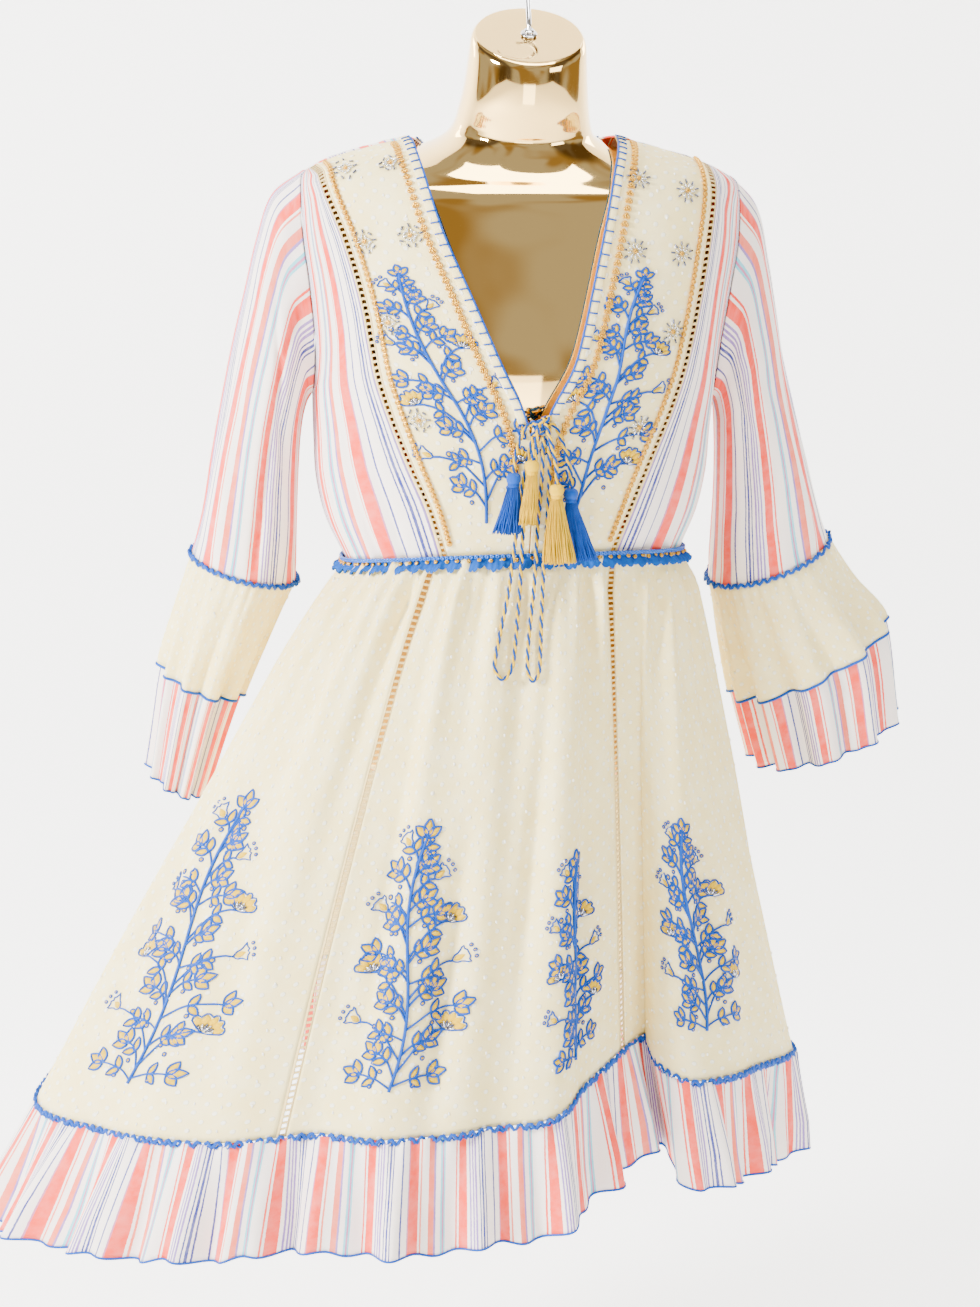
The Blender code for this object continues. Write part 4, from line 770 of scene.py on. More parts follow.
# Openwork insertion between the panels: a narrow ladder of cotton threads with gaps between.
ladder_cotton, shader, uv = new_finish("ladder_cotton", (0.90, 0.78, 0.52), 0.85)
rung = (uv.split(1) * (1 / 0.0052)).math("FRACT") - 0.5
edge = (uv.split(0) * (1 / LADDER_WIDTH) - 0.5).math("ABSOLUTE")
hole = (1 - rung.math("ABSOLUTE").soft_step(0.27, 0.33)) * (1 - edge.soft_step(0.32, 0.38))
feed(shader, "Base Color", uv.noise(300.0).mixed((0.72, 0.47, 0.14), (0.90, 0.74, 0.38)))
feed(shader, "Alpha", 1 - hole)
raised(shader, edge.soft_step(0.3, 0.4) + (1 - hole) * 0.6 + uv.noise(500.0) * 0.3, 0.0008, 0.8)

# Yokes, ladders and side fronts, one column range each of a common front, and the back.
SIDE_GATHERS = [(64.0, 0.4, 0.0016, 0.30), (37.0, 1.7, 0.0018, 0.45)]
YOKE_CREASES = {-1: [(0.060, 0.30, 8, 0.06, 0.008, 0.0022), (0.095, 0.33, -6, 0.05, 0.007, 0.0018),
                     (0.080, 0.13, 35, 0.05, 0.010, 0.0016)],
                1: [(0.050, 0.31, -8, 0.06, 0.008, 0.0020), (0.085, 0.33, 4, 0.05, 0.007, 0.0018),
                    (0.070, 0.15, -30, 0.05, 0.010, 0.0014)]}
fronts, front_normals = {}, {}
for side, word in ((-1, "left"), (1, "right")):
    coarse = bodice_front(side)
    rows, columns = (BODICE_ROWS - 1) * FINE_ROWS + 1, (coarse.shape[1] - 1) * FINE_COLUMNS + 1
    grid = finer(coarse, rows, columns)
    normals = grid_normals(grid, False, (side * 0.08, 0.0, -0.36))
    girth = np.concatenate([np.zeros((rows, 1)), np.cumsum(np.linalg.norm(np.diff(grid, axis=1), axis=2), 1)], 1)
    depth = np.concatenate([[0], np.cumsum(np.linalg.norm(np.diff(grid[:, columns // 2], axis=0), axis=1))])
    column = np.arange(columns) / FINE_COLUMNS
    share = (depth / depth[-1])[:, None]
    inset = PANEL_STEPS + 1
    on_side = np.clip((column - inset - 1) / 0.6, 0, 1) * np.clip((columns / FINE_COLUMNS - 1 - column) / 0.7, 0, 1)
    move = gathers(0.25 * column[None, :], 1 - share, SIDE_GATHERS) * on_side
    move = move + troughs(girth, depth[:, None], YOKE_CREASES[side]) * np.clip((inset - column) / 1.2, 0, 1)
    grid = grid + normals * move[..., None]
    fronts[side], front_normals[side] = grid, normals
    near, far = inset * FINE_COLUMNS, (inset + 1) * FINE_COLUMNS
    widths, ladder = girth[rows // 2], []
    for name, first, end, finish, slot in (("bodice_ladder_" + word, near, far, ladder_cotton, "ladder_trim"),
                                           ("yoke_" + word, 0, near, dotted_cream, "cream_cotton"),
                                           ("side_front_" + word, far, columns - 1, striped, "striped_cotton")):
        part = grid[:, first:end + 1]
        across = girth[:, first:end + 1] - girth[:, first:first + 1]
        if "side" in name:
            across = (widths[first:end + 1] - widths[first])[None] * 1.15 + 0.031
        if "ladder" in name:
            across = np.linspace(0, LADDER_WIDTH, end - first + 1)[None]
        piece = cloth_piece(name + "_cloth", part, across, depth, finish, False, (side * 0.08, 0.0, -0.36))
        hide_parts(name)
        if "ladder" in name:
            ladder = [piece]
        elif "yoke" in name:
            declare_cut(part, ["form"])
        else:
            declare_cut(part, ["form"])

coarse = bodice_back()
rows, columns = (BODICE_ROWS - 1) * FINE_ROWS + 1, (coarse.shape[1] - 1) * FINE_COLUMNS + 1
back = finer(coarse, rows, columns)
back_normals = grid_normals(back, False, (0.0, 0.0, -0.36))
depth = np.concatenate([[0], np.cumsum(np.linalg.norm(np.diff(back[:, columns // 2], axis=0), axis=1))])
column = np.arange(columns) / FINE_COLUMNS
calm = np.clip(column / 0.8, 0, 1) * np.clip((BACK_COLUMNS - column) / 0.8, 0, 1)
BACK_GATHERS = [(66.0, 0.9, 0.0015, 0.22), (39.0, 2.2, 0.0018, 0.40), (23.0, 0.3, 0.0014, 0.7)]
BACK_CREASES = [(0.12, 0.16, 25, 0.07, 0.012, 0.0020), (0.27, 0.14, -28, 0.06, 0.012, 0.0018),
                (0.10, 0.27, -12, 0.06, 0.009, 0.0018), (0.30, 0.25, 14, 0.07, 0.010, 0.0020)]
girth = np.linspace(0, 0.40, columns)
move = gathers(0.25 * column[None, :], 1 - (depth / depth[-1])[:, None], BACK_GATHERS) * calm
back = back + back_normals * (move + troughs(girth[None, :], depth[:, None], BACK_CREASES))[..., None]
piece = cloth_piece("bodice_back_cloth", back, girth * 1.15, depth, striped, False, (0.0, 0.0, -0.36))
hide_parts("bodice_back")
declare_cut(back, ["form"])

# Skirt: cream panels joined by ladders, gathered at the waist, swept out to the left and
# folded deeply back on itself at the right.
HEM_Z, HEM_CENTRE, SKIRT_ROWS = -0.975, np.array([-0.060, -0.010]), 8
SKIRT_OUTSET, SKIRT_DROP, SKIRT_BOW = 0.0008, 0.0006, 0.87
HEM = np.array([
    (-180.0, -0.060, 0.216, 0.000), (-150.0, -0.172, 0.186, 0.000), (-125.0, -0.250, 0.124, 0.000),
    (-105.0, -0.313, 0.060, -0.006), (-88.0, -0.378, -0.018, -0.012), (-72.0, -0.396, -0.118, -0.014),
    (-56.0, -0.350, -0.200, -0.004), (-38.0, -0.245, -0.246, 0.008), (-18.0, -0.145, -0.264, 0.016),
    (0.0, -0.060, -0.270, 0.018), (14.0, 0.005, -0.252, 0.020), (28.0, 0.058, -0.200, 0.036),
    (40.0, 0.098, -0.152, 0.046), (48.0, 0.119, -0.122, 0.046), (53.0, 0.121, -0.152, 0.036),
    (60.0, 0.146, -0.176, 0.024), (70.0, 0.206, -0.138, 0.016), (80.0, 0.250, -0.078, 0.006),
    (92.0, 0.266, -0.002, -0.004), (108.0, 0.236, 0.082, -0.002), (128.0, 0.156, 0.150, 0.000),
    (154.0, 0.048, 0.200, 0.000), (180.0, -0.060, 0.216, 0.000)])
FOLDS = [(-168, 0.012, 12), (-140, -0.011, 11), (-116, 0.008, 9), (-98, -0.008, 8), (-79, 0.010, 8),
         (-60, -0.012, 8), (-39, 0.009, 8), (-26, -0.010, 6), (-12, 0.007, 6), (6, -0.009, 6),
         (20, 0.007, 5), (74, -0.008, 4), (84, 0.008, 4), (100, -0.012, 8), (119, 0.012, 9),
         (141, -0.012, 9), (162, 0.011, 10)]
SKIRT_SEAMS = [("side_left", -90.0, -100.0, 12), ("ladder_left", -28.0, -31.0, 1),
               ("ladder_left_end", -25.5, -29.6, 17), ("ladder_right", 26.0, 38.0, 1),
               ("ladder_right_end", 28.5, 40.0, 16), ("side_right", 90.0, 98.0, 23),
               ("side_left_again", 270.0, 260.0, 0)]


def wrapped(angle):
    return (angle + math.pi) % (2 * math.pi) - math.pi


def waist_ring(turn, outset):
    """The waist seam at each angle, moved out by a distance in plan."""
    turn = wrapped(turn)
    behind = np.abs(turn) > math.pi / 2
    ring = section_point(np.where(behind, np.sign(turn) * math.pi - turn, turn), waist_height(turn), behind)
    plan = ring[..., :2] / np.linalg.norm(ring[..., :2], axis=-1, keepdims=True)
    ring[..., :2] += plan * np.asarray(outset)[..., None]
    return ring


def hem_ring(turn, added=0.0):
    """The hem seam with its soft folds, moved away from its centre by a distance."""
    degrees = np.degrees(wrapped(turn))
    ring = smooth_table(HEM, degrees)
    moved = np.zeros(ring.shape[:-1]) + added
    for angle, depth, width in FOLDS:
        moved = moved + depth * np.exp(-(((degrees - angle + 180) % 360 - 180) / width) ** 2)
    out = ring[..., :2] - HEM_CENTRE
    ring[..., :2] += out / np.linalg.norm(out, axis=-1, keepdims=True) * moved[..., None]
    ring[..., 2] += HEM_Z
    return ring


at_waist, at_hem, marks = [], [], {}
for (name, waist, hem, count), (_, next_waist, next_hem, _) in zip(SKIRT_SEAMS, SKIRT_SEAMS[1:]):
    marks[name] = len(at_waist) * 6
    for j in range(count):
        at_waist.append(waist + (next_waist - waist) * j / count)
        at_hem.append(hem + (next_hem - hem) * j / count)
at_waist, at_hem = np.radians(at_waist), np.radians(at_hem)
top, foot = waist_ring(at_waist, SKIRT_OUTSET), hem_ring(at_hem)
top[..., 2] -= SKIRT_DROP
drop = (np.arange(SKIRT_ROWS) / (SKIRT_ROWS - 1))[:, None, None]
coarse = top + (foot - top) * drop ** SKIRT_BOW
coarse[..., 2] = (top + (foot - top) * drop)[..., 2]
rows, columns = (SKIRT_ROWS - 1) * 12 + 1, len(at_waist) * 6
skirt = finer(coarse, rows, columns, True)
skirt_normals = grid_normals(skirt, True, (-0.05, 0.0, -0.75))
# Gathers: how many round, phase, depth, how far down they fade.
SKIRT_GATHERS = [(61, 0.3, 0.0034, 0.14), (43, 2.1, 0.0044, 0.26), (27, 1.2, 0.0056, 0.45), (17, 0.2, 0.0045, 1.2)]
# Creases: angle at the hem, share down, lean, length, width, depth; lengths as shares.
SKIRT_CREASES = [(-70, 0.62, 14, 0.22, 0.07, 0.011), (-46, 0.70, 10, 0.25, 0.06, 0.011),
                 (-20, 0.60, 4, 0.30, 0.05, 0.011), (-4, 0.72, -3, 0.22, 0.05, 0.0125),
                 (12, 0.55, -6, 0.28, 0.045, 0.0095), (26, 0.70, -5, 0.22, 0.04, 0.0095),
                 (66, 0.62, -5, 0.26, 0.04, 0.0095), (84, 0.66, -6, 0.24, 0.05, 0.011),
                 (112, 0.66, 6, 0.25, 0.07, 0.011), (134, 0.58, -4, 0.28, 0.06, 0.011),
                 (158, 0.70, 5, 0.22, 0.06, 0.0095), (-172, 0.60, -5, 0.28, 0.07, 0.011),
                 (-146, 0.68, 4, 0.24, 0.06, 0.0095), (-118, 0.60, -6, 0.28, 0.07, 0.011)]
stops = np.arange(len(at_hem) + 1) * 6
fine_waist = np.interp(np.arange(columns), stops, np.append(at_waist, at_waist[0] + 2 * math.pi))
fine_hem = np.interp(np.arange(columns), stops, np.append(at_hem, at_hem[0] + 2 * math.pi))
share = np.linspace(0, 1, rows)[:, None]
hem_turn = wrapped(fine_hem)[None]
move = gathers(wrapped(fine_waist)[None], share, SKIRT_GATHERS) * np.clip(share / 0.07, 0.35, 1)
for turn_degrees, level, lean, length, width, depth_ in SKIRT_CREASES:
    away = wrapped(hem_turn - math.radians(turn_degrees)) - math.radians(lean) * (share - level)
    move = move - depth_ * np.exp(-(away / width) ** 2 - ((share - level) / length) ** 2)
skirt = skirt + skirt_normals * move[..., None]
skirt_normals = grid_normals(skirt, True, (-0.05, 0.0, -0.75))
ring_length = np.concatenate([[0], np.cumsum(np.linalg.norm(np.diff(
    np.concatenate([skirt[60], skirt[60][:1]]), axis=0), axis=1))])
drop_metres = np.concatenate([[0], np.cumsum(np.linalg.norm(np.diff(skirt[:, 0], axis=0), axis=1))])
closed_skirt = np.concatenate([skirt, skirt[:, :1]], axis=1)
ladder = []
for name, first, end, finish, slot in (
        ("skirt_ladder_left", "ladder_left", "ladder_left_end", ladder_cotton, "ladder_trim"),
        ("skirt_ladder_right", "ladder_right", "ladder_right_end", ladder_cotton, "ladder_trim"),
        ("skirt_front", "ladder_left_end", "ladder_right", dotted_cream, "cream_cotton"),
        ("skirt_front_left", "side_left", "ladder_left", dotted_cream, "cream_cotton"),
        ("skirt_front_right", "ladder_right_end", "side_right", dotted_cream, "cream_cotton"),
        ("skirt_back", "side_right", None, dotted_cream, "cream_cotton")):
    first, end = marks[first], columns if end is None else marks[end]
    part = closed_skirt[:, first:end + 1]
    across = np.linspace(0, LADDER_WIDTH, end - first + 1) if "ladder" in name else ring_length[first:end + 1]
    piece = cloth_piece(name + "_cloth", part, across[None], drop_metres, finish, False, (-0.05, 0.0, -0.75))
    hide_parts(name)
    if "ladder" in name:
        ladder.append(piece)
    else:
        declare_cut(part, ["bodice_back"])
        ladder = []

# Hem ruffle: a strip of striped cotton gathered to the hem seam, so that it falls in waves.
RUFFLE_HEIGHT, RUFFLE_FLARE, RUFFLE_SWEEP, RUFFLE_WAVES, RUFFLE_WAVE, SEAM = 0.094, 0.022, 0.030, 30, 0.0085, 0.0003
RUFFLE_CALM, RUFFLE_PEAK, RUFFLE_HANG = (50.0, 9.0, 0.75), (-66.0, 24.0), (92.0, 22.0, 0.90)
fine = np.radians(np.linspace(-180, 180, 1441))
along = hem_ring(fine)[:, :2]
along = np.concatenate([[0], np.cumsum(np.linalg.norm(np.diff(along, axis=0), axis=1))])
count = RUFFLE_WAVES * 20
shares = np.arange(count) / count
turn = np.interp(shares * along[-1], along, fine)
wave = np.cos(2 * math.pi * RUFFLE_WAVES * shares + 0.9 * np.sin(2 * math.pi * 5 * shares))
uneven = 1 + 0.3 * np.sin(2 * math.pi * 7 * shares + 1.0)
degrees = np.degrees(turn)
hang = 1 - RUFFLE_HANG[2] * np.exp(-((degrees - RUFFLE_HANG[0]) / RUFFLE_HANG[1]) ** 2)
flare = RUFFLE_FLARE * hang + RUFFLE_SWEEP * np.exp(-((degrees - RUFFLE_PEAK[0]) / RUFFLE_PEAK[1]) ** 2)
calm = 1 - RUFFLE_CALM[2] * np.exp(-((degrees - RUFFLE_CALM[0]) / RUFFLE_CALM[1]) ** 2)
ruffle = []
for fall in np.linspace(0, 1, 19):
    pinch = 0.0024 * np.cos(2 * math.pi * 3 * RUFFLE_WAVES * shares + 3 * np.sin(2 * math.pi * 11 * shares))
    swing = 0.0052 * np.cos(2 * math.pi * 2 * RUFFLE_WAVES * shares + 2.5 * np.sin(2 * math.pi * 3 * shares) + 1)
    added = flare * fall + RUFFLE_WAVE * wave * uneven * calm * min(1.0, 0.15 + 1.2 * fall)
    added = added + (pinch * math.exp(-fall / 0.25) + swing * fall) * calm
    row = hem_ring(turn, added)
    row[:, 2] -= 2 * SEAM + RUFFLE_HEIGHT * fall - 0.003 * wave * fall
    ruffle.append(row)
ruffle = np.stack(ruffle)
piece = cloth_piece("hem_ruffle_cloth", ruffle, np.linspace(0, along[-1] * 1.25, count + 1)[None],
                    np.linspace(0, RUFFLE_HEIGHT, 19), striped, True, (-0.05, 0.0, -1.0))
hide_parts("hem_ruffle")
declare_cut(ruffle, ["skirt_back"], True)

# Sleeves: striped, set into the armholes and widening to the cuff seam, with a few soft
# lengthwise folds and creases at the elbow.
SLEEVE = {
    "left": np.array([
        (-0.207, -0.224, -0.1735, -0.3950, 0.003, 0.046), (-0.219, -0.262, -0.1755, -0.3995, 0.006, 0.053),
        (-0.228, -0.305, -0.1775, -0.4070, 0.009, 0.057), (-0.238, -0.352, -0.1790, -0.4180, 0.012, 0.058),
        (-0.247, -0.402, -0.1800, -0.4380, 0.018, 0.058), (-0.255, -0.450, -0.1800, -0.4720, 0.026, 0.060),
        (-0.262, -0.500, -0.1790, -0.5180, 0.038, 0.062), (-0.269, -0.543, -0.1790, -0.5650, 0.050, 0.062)]),
    "right": np.array([
        (0.205, -0.228, 0.1735, -0.3950, 0.003, 0.046), (0.216, -0.270, 0.1760, -0.4010, 0.006, 0.053),
        (0.226, -0.314, 0.1785, -0.4110, 0.009, 0.057), (0.236, -0.358, 0.1800, -0.4270, 0.012, 0.058),
        (0.249, -0.402, 0.1815, -0.4520, 0.016, 0.058), (0.262, -0.444, 0.1825, -0.4850, 0.020, 0.060),
        (0.274, -0.484, 0.1830, -0.5250, 0.026, 0.062), (0.286, -0.521, 0.1840, -0.5630, 0.032, 0.064)])}
FLOUNCE = {
    "left": np.array([
        (0.0, -0.269, -0.543, -0.1790, -0.5650, 0.050, 0.062), (0.5, -0.281, -0.598, -0.2020, -0.6200, 0.068, 0.066),
        (1.0, -0.292, -0.656, -0.2240, -0.6760, 0.086, 0.067), (1.75, -0.304, -0.756, -0.2520, -0.7740, 0.110, 0.066)]),
    "right": np.array([
        (0.0, 0.286, -0.521, 0.1840, -0.5630, 0.032, 0.064), (0.5, 0.312, -0.562, 0.1990, -0.6200, 0.038, 0.068),
        (1.0, 0.344, -0.604, 0.2150, -0.6720, 0.044, 0.072), (1.75, 0.361, -0.690, 0.2360, -0.7360, 0.052, 0.072)])}
SLEEVE_SET, SLEEVE_FOLD, FLOUNCE_SET = 0.0008, 0.045, 0.0009
CUFF_WAVES, CUFF_WAVE = 11, 0.006
FRILL_TUCK = {"left": 0.0035, "right": 0.0023}
# Creases: metres round from the outer line, metres down, lean, length, width, depth.
SLEEVE_CREASES = {
    "left": [(0.10, 0.13, 28, 0.05, 0.008, 0.0030), (0.12, 0.19, 20, 0.06, 0.008, 0.0030),
             (0.06, 0.24, 6, 0.08, 0.009, 0.0030), (0.11, 0.28, -5, 0.07, 0.008, 0.0034),
             (0.02, 0.22, -8, 0.09, 0.010, 0.0026), (0.30, 0.20, -14, 0.08, 0.011, 0.0030),
             (0.34, 0.28, 6, 0.07, 0.010, 0.0028), (0.26, 0.12, -26, 0.05, 0.010, 0.0028)],
    "right": [(0.10, 0.14, -26, 0.05, 0.008, 0.0030), (0.12, 0.20, -18, 0.06, 0.008, 0.0030),
              (0.05, 0.25, -6, 0.08, 0.009, 0.0030), (0.10, 0.29, 5, 0.06, 0.008, 0.0034),
              (0.02, 0.21, 8, 0.09, 0.010, 0.0024), (0.30, 0.21, 14, 0.08, 0.011, 0.0030),
              (0.34, 0.27, -6, 0.07, 0.010, 0.0028), (0.26, 0.13, 24, 0.05, 0.010, 0.0028)]}


def oval(row, angle):
    """A ring through an outer and an inner point, with a half depth in Y."""
    outer_x, outer_z, inner_x, inner_z, centre_y, half_depth = row
    x = (outer_x + inner_x) / 2 + (outer_x - inner_x) / 2 * np.cos(angle)
    z = (outer_z + inner_z) / 2 + (outer_z - inner_z) / 2 * np.cos(angle)
    return np.stack([x, centre_y - half_depth * np.sin(angle), z], axis=-1)


def flounce_ring(word, share, angle, shrink):
    """A ring of the cuff flounces at a share of the way down, gathered into waves."""
    ring = oval(smooth_table(FLOUNCE[word], np.array(share)), angle)
    middle = ring.mean(axis=0)
    away = ring - middle
    size = np.linalg.norm(away, axis=1, keepdims=True)
    wave = CUFF_WAVE * min(1.0, share * 1.1) * np.cos(CUFF_WAVES * angle + 0.8 * np.sin(2 * angle))
    small = 0.0011 * math.exp(-share / 0.3) * np.cos(3 * CUFF_WAVES * angle + 2 * np.sin(3 * angle))
    loose = 0.0014 * share * np.cos(2 * CUFF_WAVES * angle + 1.8 * np.sin(angle) + 1)
    return middle + away * (1 + ((wave + small + loose)[:, None] - shrink) / size)


edges = {}
for side, word in ((-1, "left"), (1, "right")):
    count = 2 * (ARMHOLE_ROWS - 1)
    angle = np.linspace(0, 2 * math.pi, count, endpoint=False)
    start = armhole_curve(angle, side)
    start[:, 0] += side * SLEEVE_SET
    rings = [start]
    for i, row in enumerate(SLEEVE[word]):
        ring = oval(row, angle)
        middle = ring.mean(axis=0)
        fold = SLEEVE_FOLD * (i / 7) * np.cos(4 * angle + 0.5 * i) * (i < 7)
        rings.append(middle + (ring - middle) * (1 + fold)[:, None])
    sleeve = finer(np.stack(rings), 97, count * 6, True)
    normals = grid_normals(sleeve, True, None)
    round_ = np.linspace(0, 0.40, count * 6, endpoint=False)[None]
    down = np.linspace(0, 0.36, 97)[:, None]
    move = troughs(round_, down, SLEEVE_CREASES[word])
    move = move + gathers(2 * math.pi * round_ / 0.40, down / 0.36, [(5, 0.7, 0.0016, 3.0), (13, 0.2, 0.0008, 3.0)])
    move = move * np.clip(down / 0.03, 0, 1) * np.clip((0.36 - down) / 0.02, 0, 1)
    sleeve = sleeve + normals * move[..., None]
    piece = cloth_piece(f"sleeve_{word}_cloth", sleeve, np.linspace(0.028, 0.348, count * 6 + 1)[None], down,
                        striped, True)
    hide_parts("sleeve_" + word)
    declare_cut(sleeve, ["bodice_back"], True)

    angle = np.linspace(0, 2 * math.pi, CUFF_WAVES * 18, endpoint=False)
    slope = FLOUNCE[word][1, 1:3] - FLOUNCE[word][0, 1:3]
    slope /= np.linalg.norm(slope)
    shares = np.linspace(0, 1, 17)
    rings = [flounce_ring(word, s, angle, 0.0) for s in shares]
    rings[0] = rings[0] + np.array([slope[0], 0.0, slope[1]]) * FLOUNCE_SET
    flounce = np.stack(rings)
    frill = np.stack([flounce_ring(word, s, angle, FRILL_TUCK[word]) for s in np.linspace(0.86, 1.75, 19)])
    piece = cloth_piece(f"cuff_flounce_{word}_cloth", flounce, np.linspace(0, 0.62, len(angle) + 1)[None],
                        shares * 0.12, dotted_cream, True)
    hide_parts("cuff_flounce_" + word)
    declare_cut(flounce, ["sleeve_" + word], True)
    piece = cloth_piece(f"cuff_frill_{word}_cloth", frill, np.linspace(0.05, 0.62, len(angle) + 1)[None],
                        np.linspace(0, 0.11, 19), striped, True)
    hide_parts("cuff_frill_" + word)
    declare_cut(frill, ["cuff_flounce_" + word], True)
    edges[word] = (sleeve, flounce, frill)

# Trim on the cloth: everything sewn on follows the cloth's points, lifted along its normals.
# Beads and sequins are small turned shapes, copied to their places.
def on_cloth(grid, normals, row, column, lift=0.0):
    """Bilinear point at fractional rows and columns of a grid, plus lift times the normal there."""
    row, column, lift = np.broadcast_arrays(np.asarray(row, float), column, lift)
    row, column = np.clip(row, 0, len(grid) - 1.001), np.clip(column, 0, grid.shape[1] - 1.001)
    i, j = row.astype(int), column.astype(int)
    u, v = (row - i)[..., None], (column - j)[..., None]
    def mixed(values):
        return ((values[i, j] * (1 - v) + values[i, j + 1] * v) * (1 - u)
                + (values[i + 1, j] * (1 - v) + values[i + 1, j + 1] * v) * u)
    return mixed(grid) + lift[..., None] * mixed(normals)


def turned(profile, sides):
    """A closed profile of (radius, height) turned round Z, as points and quads."""
    a = np.linspace(0, 2 * math.pi, sides, endpoint=False)[:, None]
    r, z = np.array(profile).T
    points = np.stack([np.cos(a) * r, np.sin(a) * r, np.broadcast_to(z, (sides, len(r)))], -1)
    return points.reshape(-1, 3), grid_faces(sides, len(profile), True, True)[:, ::-1]


def strewn(pile, shape, grid, normals, row, column, lift, finish, spin=0.0):
    """Copies of a shape on the cloth, Z along the normal and X turned by spin from across it."""
    points, faces = shape
    row, column, spin = [v.ravel() for v in np.broadcast_arrays(np.asarray(row, float), column, spin)]
    at = on_cloth(grid, normals, row, column, lift)
    up = on_cloth(grid, normals, row, column, 1.0) - on_cloth(grid, normals, row, column)
    across = on_cloth(grid, normals, row, column + 0.4) - on_cloth(grid, normals, row, column - 0.4)
    up /= np.linalg.norm(up, axis=1, keepdims=True)
    side = np.cross(up, across)
    side /= np.linalg.norm(side, axis=1, keepdims=True)
    across = np.cross(side, up)
    x_axis = np.cos(spin)[:, None] * across + np.sin(spin)[:, None] * side
    frames = np.stack([x_axis, np.cross(up, x_axis), up], axis=-1)
    places = at[:, None] + np.einsum("nij,kj->nki", frames, points)
    numbers = faces[None] + np.arange(len(places))[:, None, None] * len(points)
    pile.add(places, numbers.reshape(-1, 4), finish)


def even_rows(grid, column, first, end, step):
    """Fractional rows at even metres down one column of a grid."""
    length = np.concatenate([[0], np.cumsum(np.linalg.norm(np.diff(grid[first:end + 1, column], axis=0), axis=1))])
    marks = np.arange(step / 2, length[-1], step)
    return np.interp(marks, length, np.arange(first, end + 1))


def bead_finish(name, colour, metallic, roughness):
    made, shader, spot = new_finish(name, colour, roughness, metallic, coordinates="Object")
    feed(shader, "Base Color", spot.noise(400.0).mixed([c * 0.75 for c in colour], colour))
    return made


BEAD = turned([(0.0012 + 0.0009 * math.cos(t), 0.0010 + 0.0010 * math.sin(t))
               for t in np.linspace(0, 2 * math.pi, 5, endpoint=False)], 7)
SEQUIN = turned([(0.0004, 0.0000), (0.0026, 0.0008), (0.0025, 0.0011), (0.0004, 0.0003)], 12)
BUGLE_POINTS, BUGLE_FACES = turned([(0.0003, -0.0018), (0.0008, -0.0018), (0.0008, 0.0018), (0.0003, 0.0018)], 6)
BUGLE = (BUGLE_POINTS[:, [2, 0, 1]] + (0.0, 0.0, 0.0009), BUGLE_FACES)
gold_bead = bead_finish("gold_bead", (0.82, 0.43, 0.05), 1.0, 0.35)
silver_bead = bead_finish("silver_bead", (0.78, 0.79, 0.82), 1.0, 0.25)
gunmetal_bead = bead_finish("gunmetal_bead", (0.16, 0.17, 0.24), 0.9, 0.25)
blue_bead = bead_finish("blue_bead", (0.012, 0.14, 0.62), 0.2, 0.2)

# Neck bindings: a folded strip of cream cotton over the raw neck edge, held by blanket stitch
# in blue, with a blue corded edge. One run on each yoke and one across the back.
BINDING_LIFT, BINDING_FOOT_ROW = 0.0016, {-1: 0, 1: 0}
binding_thread = Pile()
for side, word in ((-1, "left"), (1, "right")):
    grid, normals = fronts[side], front_normals[side]
    foot = int(np.argmax(grid[:, 0, 2] < -0.3965)) - 1
    share = np.linspace(0, 1, 10)
    lift = BINDING_LIFT + 0.0007 * np.sin(math.pi * share) - 0.0010 * np.clip(share - 0.9, 0, 1) * 10 * 0.4
    strip = on_cloth(grid, normals, np.arange(1, foot + 1)[:, None] - 0.5, share[None] * 8.6 + 0.1, lift[None])
    piece = cloth_piece(f"neck_binding_{word}_cloth", strip, np.linspace(0, 0.0085, 10), np.arange(foot) * 0.0025,
                        dotted_cream, False, (side * 0.08, 0.0, -0.36), 0.0010)
    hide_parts("neck_binding_" + word)
    rows = np.linspace(1, foot, int(foot * 1.5))
    binding_thread.tube(on_cloth(grid, normals, rows, 0.0, BINDING_LIFT + 0.0002), 0.0009, 6)
    for row in even_rows(grid, 0, 2, foot - 1, 0.0098):
        binding_thread.tube(on_cloth(grid, normals, row, np.linspace(0, 8.4, 6),
                                     BINDING_LIFT + 0.0009 + 0.0004 * np.sin(np.linspace(0, 3.14, 6))), 0.0007, 5)
share = np.linspace(0, 1, 7)
first_column, last_column = 40, back.shape[1] - 41
strip = on_cloth(back, back_normals, share[:, None] * 7.2 + 0.2, np.arange(first_column, last_column + 1)[None] * 1.0,
                 (BINDING_LIFT + 0.0006 * np.sin(math.pi * share))[:, None])
piece = cloth_piece("neck_binding_back_cloth", strip, np.arange(strip.shape[1]) * 0.0015, share * 0.0085,
                    dotted_cream, False, (0.0, 0.0, -0.36), 0.0010)
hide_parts("neck_binding_back")
binding_thread.tube(on_cloth(back, back_normals, 0.2, np.arange(first_column, last_column + 0.5, 0.7),
                             BINDING_LIFT + 0.0002), 0.0009, 6)
for column in np.linspace(first_column + 3, last_column - 3, 13):
    binding_thread.tube(on_cloth(back, back_normals, np.linspace(0.2, 7.2, 6), column, BINDING_LIFT + 0.0009), 0.0007, 5)
binding_thread.piece("blanket_stitch", [blue_thread])

